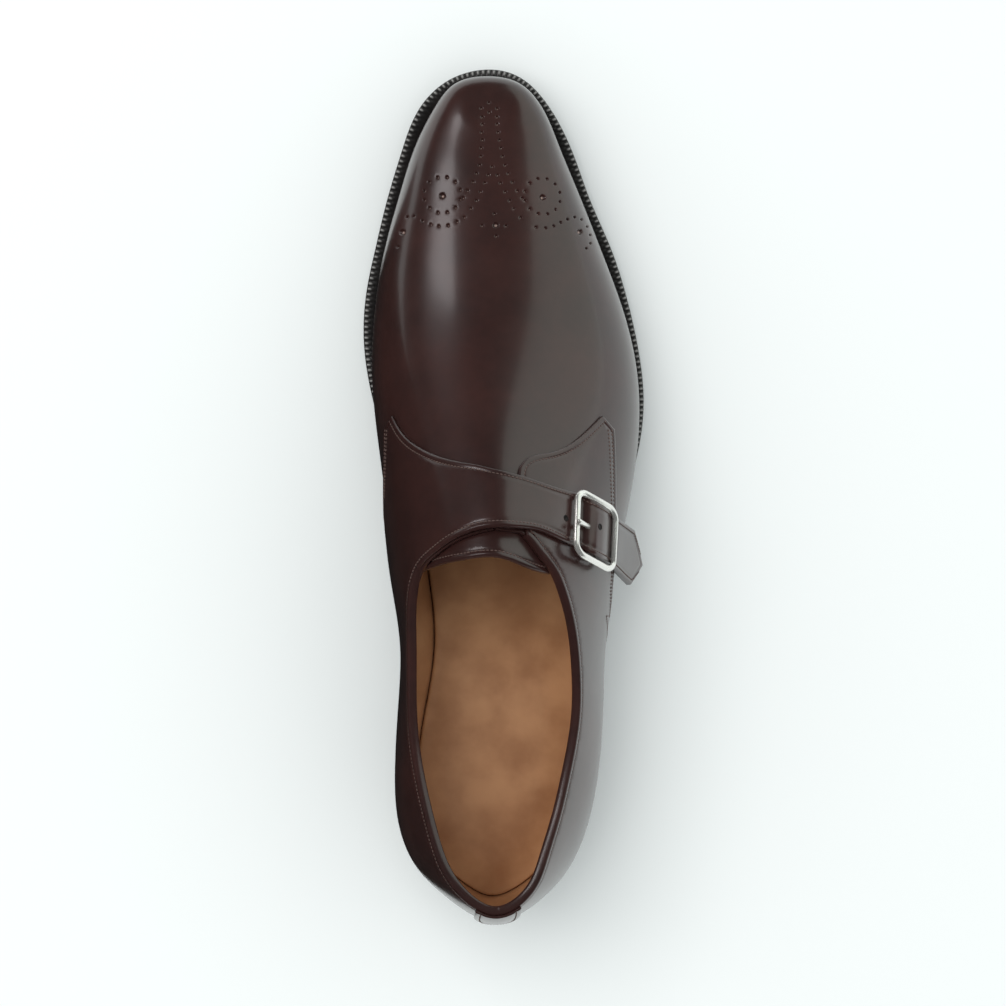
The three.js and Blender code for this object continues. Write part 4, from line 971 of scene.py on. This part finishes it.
tab_points, tab_faces = panel(tab_parts, STRAP_BACK, QUARTER, chart=at_heel, spacing=0.8)
made("heel_tab_calf", tab_points, tab_faces, calf.material, "heel_tab", "calf")


# Stitching. Fine dark linen thread, about ten stitches to two centimetres, sunk in its groove.
thread = Finish("linen_thread", 0.55)
thread.set({"Base Color": thread.mix(thread.noise(0.002, 2), (0.07, 0.04, 0.034, 1), (0.15, 0.095, 0.08, 1))})
STITCH_PITCH, STITCH_LENGTH, STITCH_WIDTH = 1.38, 1.05, 0.46
stitch_points, stitch_faces, stitch_total = [], [], 0
BARREL = [(-0.5, 0.35, -0.3), (-0.3, 0.9, 0.25), (0.0, 1.0, 0.45), (0.3, 0.9, 0.25), (0.5, 0.35, -0.3)]
angles = 2 * math.pi * np.arange(6) / 6


def stitch(points, normals):
    """One row of stitches along a line that lies on the leather."""
    global stitch_total
    run = np.append(0, np.cumsum(np.linalg.norm(np.diff(points, axis=0), axis=1)))
    spots = np.arange(STITCH_PITCH / 2, run[-1], STITCH_PITCH)
    at = lambda values, where: np.stack([np.interp(where, run, values[:, c]) for c in range(3)], -1)
    middles, ups = at(points, spots), at(normals, spots)
    ahead = at(points, spots + 0.3) - at(points, spots - 0.3)
    ahead /= np.linalg.norm(ahead, axis=1)[:, None]
    aside = np.cross(ups, ahead)
    for middle, up, way, side in zip(middles, ups, ahead, aside):
        for share, wide, high in BARREL:
            for angle in angles:
                stitch_points.append(middle + way * share * STITCH_LENGTH
                                     + side * math.cos(angle) * wide * STITCH_WIDTH / 2
                                     + up * (math.sin(angle) * wide + high) * STITCH_WIDTH / 2)
        first = stitch_total * len(BARREL) * 6
        for i in range(len(BARREL) - 1):
            for j in range(6):
                a, b = first + i * 6 + j, first + i * 6 + (j + 1) % 6
                stitch_faces.append((a, b, b + 6, a + 6))
        stitch_faces.append(tuple(range(first, first + 6))[::-1])
        stitch_faces.append(tuple(range(first + 24, first + 30)))
        stitch_total += 1


def stitch_beside(line, loop, base, leather, distance=STITCH_FROM_EDGE, sink=GROOVE_DEPTH, chart=folded):
    """A row of stitches inside a cut edge of a panel."""
    steps = leftwards(line, chart) * distance
    left = inside(line + steps * 1.5, loop).mean() > inside(line - steps * 1.5, loop).mean()
    moved = line + steps if left else line - steps
    clear = nearest([lifted(chart, line)])(lifted(chart, moved)) > distance * 0.9
    kept = clear & inside(moved, loop)
    if not kept.all() and distance > STITCH_FROM_EDGE:
        kept &= np.arange(len(kept)) < np.flatnonzero(~kept & (np.arange(len(kept)) > 20)).min() - 12
    moved = moved[kept]
    t, v = chart(moved[:, 0], moved[:, 1])
    under, normal = last_point(t, v), last_normal(t, v)
    amount = lambda value: value(under) if callable(value) else np.full(len(under), value)
    stitch(under + normal * (amount(base) + amount(leather) - sink)[:, None], normal)


outline = lambda parts: np.concatenate([line[:-1] for line, _ in parts])
medial_loop, lateral_loop = outline(medial_parts), outline(lateral_parts)
second_row = 4.2
for line in (medial_front, medial_collar, medial_seam):
    stitch_beside(line, medial_loop, strap_base, strap_leather)
stitch_beside(medial_seam, medial_loop, strap_base, strap_leather, second_row, 0.06)
for line in (lateral_front, lateral_collar, lateral_seam):
    stitch_beside(line, lateral_loop, GAP, QUARTER)
stitch_beside(lateral_seam, lateral_loop, GAP, QUARTER, second_row, 0.06)
stitch_beside(tongue_rear, outline([(tongue_rear, True), (tongue_hidden, False)]), tongue_base, TONGUE)
stitch_beside(tab_edge, outline(tab_parts), STRAP_BACK, QUARTER, chart=at_heel)
row_share = 1 + RINGS.index(2.1)
widths = np.linalg.norm(rear_plan - front_plan, axis=1)
full = widths > 7
for j in (row_share, strap_count - 1 - row_share):
    stitch(top[full, j], face[full, j])
made("stitching", stitch_points, stitch_faces, thread.material, slot="calf")


# Buckle. A polished nickel frame with a hidden centre bar, a short prong, and the leather tab
# that ties the bar to the lateral quarter.
nickel = Finish("polished_nickel", 0.3, metallic=0.8)
nickel.set({"Base Color": (0.86, 0.845, 0.81, 1), "Roughness": 0.24 + 0.05 * nickel.noise(0.004, 3)})


def above(places_ab, lifts):
    """Points and normals over the last for steps of the buckle, at given lifts."""
    places_ab = np.asarray(places_ab, float)
    lifts = np.broadcast_to(np.asarray(lifts, float), len(places_ab))
    at = find(folded, (0, 1), in_buckle(places_ab[:, 0], places_ab[:, 1]), lifts)
    t, v = folded(at[:, 0], at[:, 1])
    return lifted(folded, at, lifts), last_normal(t, v)


def tube(name, points, ups, radii, finish, closed=False, sides=16, flat=1.0, **more):
    """Round wire along points, with its own radius at each."""
    if closed:
        ahead = np.roll(points, -1, 0) - np.roll(points, 1, 0)
    else:
        ahead = np.gradient(points, axis=0)
    ahead /= np.linalg.norm(ahead, axis=1)[:, None]
    aside = np.cross(ups, ahead)
    aside /= np.linalg.norm(aside, axis=1)[:, None]
    ups = np.cross(ahead, aside)
    turn = 2 * math.pi * np.arange(sides) / sides
    circle = np.stack([np.cos(turn), flat * np.sin(turn)], -1)
    radii = np.broadcast_to(radii, len(points))
    return swept(name, points, (aside, ups), circle[None] * radii[:, None, None], finish, closed, **more)


CORNER_A, CORNER_B, CORNER_STEPS = 0.42, 0.34, 12
loop_ab = []
for sign_a, sign_b, first_angle in ((1, 1, 0), (-1, 1, 90), (-1, -1, 180), (1, -1, 270)):
    for k in range(CORNER_STEPS + 1):
        angle = math.radians(first_angle + 90 * k / CORNER_STEPS)
        loop_ab.append((sign_a * (1 - CORNER_A) + CORNER_A * math.cos(angle),
                        sign_b * (1 - CORNER_B) + CORNER_B * math.sin(angle)))
loop_ab = np.array(loop_ab + loop_ab[:1])
run = np.append(0, np.cumsum(np.hypot(*(np.diff(loop_ab, axis=0) * (8, 10.7)).T)))
even = np.linspace(0, run[-1], 121)[:-1]
loop_ab = np.stack([np.interp(even, run, loop_ab[:, c]) for c in range(2)], -1)
frame_points, frame_ups = above(loop_ab, FRAME_LIFT)
tube("buckle_nickel", frame_points, frame_ups, BUCKLE_WIRE / 2, nickel.material, True, flat=0.88,
     node="buckle_frame", slot="buckle_metal")
bar_b = np.linspace(-1, 1, 41)
bar_lift = CENTRE_LIFT + (FRAME_LIFT - CENTRE_LIFT) * soft_step(np.abs(bar_b), 0.84, 0.98)
bar_points, bar_ups = above(np.stack([0 * bar_b, bar_b], -1), bar_lift)
tube("buckle_centre_bar", bar_points, bar_ups, CENTRE_BAR / 2, nickel.material, slot="buckle_metal")
prong_top = FRAME_LIFT + BUCKLE_WIRE / 2 + PRONG_WIRE / 2 - 0.1
PRONG = [(-0.16, CENTRE_LIFT + 0.2), (-0.3, CENTRE_LIFT + 0.9), (-0.58, prong_top - 1.6),
         (-0.8, prong_top - 0.5), (-0.98, prong_top - 0.1)]
prong_line = open_spline([0, 1, 2, 3, 4], PRONG)(np.linspace(0, 4, 40))
prong_points, prong_ups = above(np.stack([prong_line[:, 0], 0 * prong_line[:, 0]], -1), prong_line[:, 1])
prong_radii = PRONG_WIRE / 2 * np.interp(np.arange(40), [0, 35, 37, 38, 39], [1, 1.05, 0.95, 0.72, 0.3])
tube("buckle_prong_nickel", prong_points, prong_ups, prong_radii, nickel.material,
     node="buckle_prong", slot="buckle_metal")
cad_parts["buckle_tab"].data.materials.clear()
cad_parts["buckle_tab"].data.materials.append(calf.material)

# Strap holes. Not cut: near-black discs with a low raised rim lie on the strap where the round punched holes
# are, beside the prong and on the free end's side; their dark is painted shade of the open hole
hole_shade_finish = Finish("strap_hole_painted_shade", 0.7)
# Near-black colour: painted shade standing in for the dark inside of each hole
hole_shade_finish.set({"Base Color": hole_shade_finish.mix(hole_shade_finish.noise(0.001), (0.006, 0.003, 0.003, 1), (0.015, 0.007, 0.006, 1))})
HOLE_PLACES = [(-1.7, 0.22), (-0.06, -0.08)]
HOLE_RINGS = ((1.2, -0.02), (1.12, 0.1), (0.92, 0.12), (0.85, 0.02))
ROUND = 20


def ring_faces(rows, count, first=0):
    """Faces between rows of points, each row closed on itself."""
    faces = []
    for low in range(first, first + (rows - 1) * count, count):
        for j in range(count):
            k = (j + 1) % count
            faces.append((low + j, low + k, low + count + k, low + count + j))
    return faces


hole_points, hole_faces = [], []
for number, spot_ab in enumerate(HOLE_PLACES):
    spot = in_buckle(*spot_ab)
    near = int(np.argmin(np.linalg.norm(plan.reshape(-1, 2) - spot, axis=1)))
    middle, up = top.reshape(-1, 3)[near], face.reshape(-1, 3)[near]
    one = np.cross(up, (0, 1, 0))
    one /= np.linalg.norm(one)
    two = np.cross(up, one)
    for radius, height in HOLE_RINGS:
        for k in range(ROUND):
            angle = 2 * math.pi * k / ROUND
            spoke = one * math.cos(angle) + two * math.sin(angle)
            hole_points.append(middle + radius * spoke + up * height)
    first = number * len(HOLE_RINGS) * ROUND
    last = first + (len(HOLE_RINGS) - 1) * ROUND
    hole_faces += ring_faces(len(HOLE_RINGS), ROUND, first)
    hole_faces += [tuple(range(last, last + ROUND)), tuple(range(first, first + ROUND))[::-1]]
# The discs carry painted shade in place of real openings in the strap
strap_hole_shade_discs = made("strap_hole_shade_discs", hole_points, hole_faces, hole_shade_finish.material, slot="calf")
weld(strap_hole_shade_discs, 0.001)


# Bottom. Leather outsole and welt with a waxed black edge; the welt is wheeled with fine
# fudge marks round the forefoot, their ridges lit by a painted highlight in light grey. The heel
# is stacked leather on a rubber top piece.
edge_wax = Finish("waxed_sole_edge", 0.38, coat=0.25, coat_roughness=0.2)
ridge_glint = edge_wax.node("ShaderNodeAttribute", {"attribute_name": "ridge_glint"}, {}, 2)
black = edge_wax.mix(edge_wax.noise(0.006, 3), (0.006, 0.0055, 0.0055, 1), (0.018, 0.015, 0.014, 1))
# The light grey mixed in on the welt's ridges is a painted highlight, standing in for glints of light on the
# crests
edge_wax.set({"Base Color": edge_wax.mix(ridge_glint * ridge_glint * ridge_glint, black, (0.34, 0.33, 0.32, 1))})
edge_wax.bump(edge_wax.noise(0.0006, 2), 0.00003, 0.4)
FUDGE_PITCH, FUDGE_DEPTH = 2.0, 0.42
fine = np.linspace(-1, 1, 4001)
edge_run = np.append(0, np.cumsum(np.linalg.norm(np.diff(sole_edge(fine), axis=0), axis=1)))
at_breast = lambda curve, side: fine[fine * side > 0][np.argmin(np.abs(
    curve(fine[fine * side > 0])[:, 1] - along(HEEL_BREAST)))]
welt_ends = [at_breast(sole_edge, side) for side in (-1, 1)]
welt_runs = np.interp(welt_ends, fine, edge_run)
welt_count = int((welt_runs[1] - welt_runs[0]) / FUDGE_PITCH) * 7
welt_t = np.interp(np.linspace(*welt_runs, welt_count + 1), edge_run, fine)
wave = 0.5 - 0.5 * np.cos(2 * math.pi * np.arange(welt_count + 1) / 7)
rim_xy = sole_edge(welt_t)
feather_t = np.linspace(-1, 1, 3001)
feather_xy = inset(rails, feather_t, rails(feather_t)[:, 3])
tree = kdtree.KDTree(len(feather_xy))
for i, (x, y) in enumerate(feather_xy):
    tree.insert((x, y, 0), i)
tree.balance()
foot_xy = np.array([feather_xy[tree.find((x, y, 0))[1]] for x, y in rim_xy])
reach = np.linalg.norm(foot_xy - rim_xy, axis=1)
inwards = (foot_xy - rim_xy) / reach[:, None]
room = np.maximum(reach - 0.4 - 1.5 * soft_step(-rim_xy[:, 1], -along(0.6), -along(0.66)), 0.4)
low_z, high_z = sole_top(rim_xy[:, 1]) + GAP, sole_top(rim_xy[:, 1]) + GAP + WELT
mark = FUDGE_DEPTH * wave * soft_step(rim_xy[:, 1], along(0.52), along(0.44))
WELT_TOP = [(9, 0, 0), (2.6, 0, 0), (2.0, 0, 0.8), (1.3, 0, 1), (0.55, 0.08, 1), (0.14, 0.42, 0.8),
            (0, 0.9, 0.3)]
rings = [join(*(rim_xy + inwards * np.minimum(d, room)[:, None]).T, high_z - drop - mark * share)
         for d, drop, share in WELT_TOP]
rings += [join(*rim_xy.T, low_z + 0.3), join(*(rim_xy + inwards * 0.25).T, low_z),
          join(*(rim_xy + inwards * room[:, None]).T, low_z)]
welt_points = np.stack(rings, 1)
count = len(rings)
welt_faces = ring_faces(welt_count + 1, count)
welt_faces += [tuple(range(count)), tuple(range(welt_count * count, (welt_count + 1) * count))[::-1]]
welt = made("welt_fudged", welt_points.reshape(-1, 3), welt_faces, edge_wax.material, "welt", "sole_edge")
# Painted highlight on the crests between the fudge marks, strongest on the welt's outer top rows
glint_rows = [0, 0, 0.3, 0.9, 1, 0.6] + [0] * (count - 6)
ridges = (1 - wave) * soft_step(rim_xy[:, 1], along(0.52), along(0.44))
crests = (ridges[:, None] * glint_rows).ravel()
welt.data.attributes.new("ridge_glint", "FLOAT", "POINT").data.foreach_set("value", crests)
weld(welt, 0.001)


def shade(piece, degrees):
    """Smooth shading, save over edges that turn by more than this."""
    bpy.ops.object.select_all(action="DESELECT")
    piece.select_set(True)
    bpy.context.view_layer.objects.active = piece
    bpy.ops.object.shade_smooth_by_angle(angle=math.radians(degrees))
    piece.select_set(False)


def slab(name, t, edge, low, high, rows, finish, node, slot):
    """Layer under the last from rings at insets and heights, closed across the shoe."""
    rings = []
    for draw, share, step in rows:
        x, y = edge(draw).T
        rings.append(join(x, y, low(y) + (high(y) - low(y)) * share + step))
    count = len(t)
    faces = ring_faces(len(rings), count)
    last = (len(rings) - 1) * count
    for j in range(count // 2):
        a, b, c, d = j, (j + 1) % count, (count - j - 1) % count, (count - j) % count
        faces += [(a, b, c, d) if len({a, b, c, d}) == 4 else tuple(dict.fromkeys((a, b, c, d)))]
        faces += [tuple(last + k for k in reversed(faces[-1]))]
    piece = made(name, np.concatenate(rings), faces, finish, node, slot)
    weld(piece, 0.001)
    shade(piece, 50)


SLAB_ROWS = [(1.0, 0, 0), (0.45, 0, 0.06), (0.12, 0, 0.3), (0.0, 0, 0.7), (0.0, 1, -0.5), (0.12, 1, -0.15),
             (0.35, 1, 0)]
SLAB_COLUMNS = 480
ring_t = -1 + 2 * np.arange(SLAB_COLUMNS) / SLAB_COLUMNS
slab("outsole_leather", ring_t, lambda draw: inset(sole_edge, ring_t, np.full(SLAB_COLUMNS, draw)),
     sole_bottom, sole_top, SLAB_ROWS, edge_wax.material, "outsole", "sole_edge")
insole_edge = rails(ring_t)[:, 3] + WALL + GAP + 0.2
bed = lambda y: sole_top(y) + GAP
slab("insole_board", ring_t, lambda draw: inset(rails, ring_t, insole_edge + draw), bed,
     lambda y: bed(y) + INSOLE, SLAB_ROWS, tan.material, "insole", "insole_leather")

# Sock. A thin tan lining leather glued over the insole, with a padded heel
SOCK, SOCK_PAD, SOCK_ROWS, SOCK_COLUMNS = 0.8, 1.2, 180, 33
side_t = 0.5 - 0.496 * np.cos(np.linspace(0, math.pi, SOCK_ROWS))
sides = [inset(rails, side * side_t, rails(side * side_t)[:, 3] + WALL + 2 * GAP + 0.1) for side in (-1, 1)]
across = 0.5 - 0.5 * np.cos(np.linspace(0, math.pi, SOCK_COLUMNS))
sock_plan = (sides[0][:, None] + (sides[1] - sides[0])[:, None] * across[:, None]).reshape(-1, 2)
sock_rim = np.concatenate([sides[0], sides[1], sock_plan[:SOCK_COLUMNS], sock_plan[-SOCK_COLUMNS:]])
from_rim = nearest([join(*sock_rim.T, 0.0)])(join(*sock_plan.T, 0.0))
sock_low = bed(sock_plan[:, 1]) + INSOLE + 0.1
sock_high = sock_low + SOCK * rounded(from_rim, 1.2, 0.25)
sock_high += SOCK_PAD * soft_step(-sock_plan[:, 1], 40, 75) * soft_step(from_rim, 0, 12)
sock_corners = [i * SOCK_COLUMNS + j for i in range(SOCK_ROWS - 1) for j in range(SOCK_COLUMNS - 1)]
sock_faces = [(k, k + 1, k + 1 + SOCK_COLUMNS, k + SOCK_COLUMNS) for k in sock_corners]
sock_count = len(sock_plan)
sock_rim = [*range(SOCK_COLUMNS), *range(2 * SOCK_COLUMNS - 1, sock_count, SOCK_COLUMNS),
            *range(sock_count - 2, sock_count - SOCK_COLUMNS - 1, -1),
            *range(sock_count - 2 * SOCK_COLUMNS, 0, -SOCK_COLUMNS)]
sock_walls = [(a, b, b + sock_count, a + sock_count) for a, b in zip(sock_rim, sock_rim[1:] + sock_rim[:1])]
sock = made("insole_sock", np.concatenate([join(*sock_plan.T, sock_high), join(*sock_plan.T, sock_low)]),
            sock_faces + [tuple(k + sock_count for k in f[::-1]) for f in sock_faces] + sock_walls,
            tan.material, slot="insole_leather")
weld(sock, 0.001)

# Heel. Stacked leather lifts with a rubber top piece, each drawn in a little more
stacked = Finish("stacked_heel", 0.35, coat=0.3, coat_roughness=0.2)
stacked.set({"Base Color": stacked.mix(stacked.noise(0.004, 3, stretch=(0.3, 0.3, 2)),
                                       (0.006, 0.005, 0.0045, 1), (0.02, 0.014, 0.011, 1))})
rubber = Finish("heel_rubber", 0.7)
rubber.set({"Base Color": rubber.mix(rubber.noise(0.002, 2),
                                     (0.008, 0.008, 0.008, 1), (0.016, 0.016, 0.016, 1))})
rubber.bump(rubber.noise(0.0008, 2), 0.00004, 0.5)
TOP_PIECE, HEEL_LIFTS, HEEL_TAPER, BREAST_HOLLOW = 6.0, 3, 1.5, 3.0
TURN_STEPS, BREAST_STEPS, HEEL_COLUMNS = 260, 30, 240


def heel_layer(name, low, high, finish, node, slot):
    draw = HEEL_TAPER * (1 - high / HEEL_HEIGHT) + GAP
    turn = np.linspace(0.5, 1.5, TURN_STEPS)
    rows = []
    for shrink, z in ((0.35, low), (0.08, low + 0.12), (0, low + 0.35), (0, high - 0.35), (0.08, high - 0.12),
                      (0.35, high)):
        edge = inset(sole_edge, turn, np.full(TURN_STEPS, draw + shrink))
        edge = edge[edge[:, 1] < along(HEEL_BREAST) - shrink]
        first, last = edge[0], edge[-1]
        share = np.linspace(0, 1, BREAST_STEPS)[1:-1, None]
        breast = last + (first - last) * share
        breast[:, 1] -= (BREAST_HOLLOW * 4 * share * (1 - share))[:, 0]
        loop = np.concatenate([edge, breast])
        loop = np.concatenate([loop, loop[:1]])
        run = np.append(0, np.cumsum(np.linalg.norm(np.diff(loop, axis=0), axis=1)))
        even = np.linspace(0, run[-1], HEEL_COLUMNS + 1)[:-1]
        loop = np.stack([np.interp(even, run, loop[:, c]) for c in range(2)], -1)
        rows.append(join(loop[:, 0], loop[:, 1], z))
    last = (len(rows) - 1) * HEEL_COLUMNS
    faces = ring_faces(len(rows), HEEL_COLUMNS)
    faces += [tuple(range(HEEL_COLUMNS))[::-1], tuple(range(last, last + HEEL_COLUMNS))]
    piece = made(name, np.concatenate(rows), faces, finish, node, slot)
    weld(piece, 0.001)
    shade(piece, 40)


lift_height = (HEEL_HEIGHT - TOP_PIECE) / HEEL_LIFTS
heel_layer("top_piece_rubber", 0, TOP_PIECE - 0.12, rubber.material, "top_piece", "heel_rubber")
for number in range(HEEL_LIFTS):
    floor_z = TOP_PIECE + number * lift_height
    heel_layer(f"heel_lift_leather_{number + 1}", floor_z, floor_z + lift_height - 0.12, stacked.material,
               f"heel_lift_{number + 1}", "sole_edge")


# Stage. A plain pale floor under soft studio light, with the camera straight above.
floor_finish = Finish("pale_floor", 0.6)
floor_finish.set({"Base Color": (0.82, 0.84, 0.84, 1)})
floor_finish.material.node_tree.nodes["Principled BSDF"].inputs["Specular IOR Level"].default_value = 0
bpy.ops.mesh.primitive_plane_add(size=8, location=(0, 0, -0.0003))
floor = bpy.context.object
floor.name = "floor"
floor.data.materials.append(floor_finish.material)


def lamp(name, place, aim, size, power, colour):
    data = bpy.data.lights.new(name, "AREA")
    data.shape, data.size, data.size_y = "RECTANGLE", size[0], size[1]
    data.energy, data.color = power, colour
    light = bpy.data.objects.new(name, data)
    bpy.context.scene.collection.objects.link(light)
    light.location = place
    light.rotation_euler = (Vector(aim) - Vector(place)).to_track_quat("-Z", "Y").to_euler()
    light.visible_camera = False
    return light


def seen_by(light, glossy=True, diffuse=True):
    light.visible_glossy, light.visible_diffuse = glossy, diffuse


sky = lamp("sky", (-0.8, 0.5, 2.2), (0, 0, 0), (1.6, 1.6), 24, (1, 0.985, 0.97))
seen_by(sky, glossy=False)
window = lamp("window", (-1.25, 1.12, 1.5), (-1.25, -0.1, 0.2), (1.3, 0.34), 7, (1, 0.97, 0.98))
seen_by(window, diffuse=False)
screen = lamp("screen", (1.05, 2.1, 0.85), (0, 2.1, 0.85), (3.75, 1.7), 20, (0.92, 1, 0.93))
seen_by(screen, diffuse=False)
world = bpy.data.worlds.new("studio")
bpy.context.scene.world = world
world.use_nodes = True
world.node_tree.nodes["Background"].inputs[0].default_value = (0.87, 0.91, 0.905, 1)
world.node_tree.nodes["Background"].inputs[1].default_value = 1.0
world.cycles_visibility.glossy = False

# A dark card stands beside the inner side, as in a studio, and shows only in the shine
card_mesh = bpy.data.meshes.new("dark_card")
card_line = [(-0.035, -0.26), (-0.04, 0.05), (-0.062, 0.11), (-0.095, 0.15)]
card_points = [(x, y, 0.0002) for x, y in card_line] + [(-0.2, y, 0.0002) for _, y in card_line]
card_points += [(-0.08, -0.26, 0), (-0.08, 0.0, 0), (-0.09, 0.13, 0), (-0.08, -0.26, 0.12),
                (-0.08, 0.0, 0.11)]
card_faces = [(0, 1, 5, 4), (1, 2, 6, 5), (2, 3, 7, 6), (8, 9, 12, 11), (9, 10, 12)]
card_mesh.from_pydata(card_points, [], card_faces)
card = bpy.data.objects.new("dark_card", card_mesh)
bpy.context.scene.collection.objects.link(card)
card_finish = Finish("dark_card", 0.9)
card_finish.set({"Base Color": (0.01, 0.01, 0.01, 1)})
card.data.materials.append(card_finish.material)
card.visible_camera = card.visible_diffuse = card.visible_shadow = False

CAMERA = Vector((-0.0567, -0.0049, 1.5))
bpy.ops.object.camera_add(location=CAMERA)
camera = bpy.context.object
camera.data.sensor_width = 36
camera.data.lens = 36 * 1.5 / 0.3699
backwards = (CAMERA - Vector((0.0, -0.0045, 0))).normalized()
sideways = Vector((0, 1, 0)).cross(backwards).normalized()
camera.rotation_euler = Matrix((sideways, backwards.cross(sideways), backwards)).transposed().to_euler()
bpy.context.scene.camera = camera
bpy.context.scene.view_settings.view_transform = "Standard"
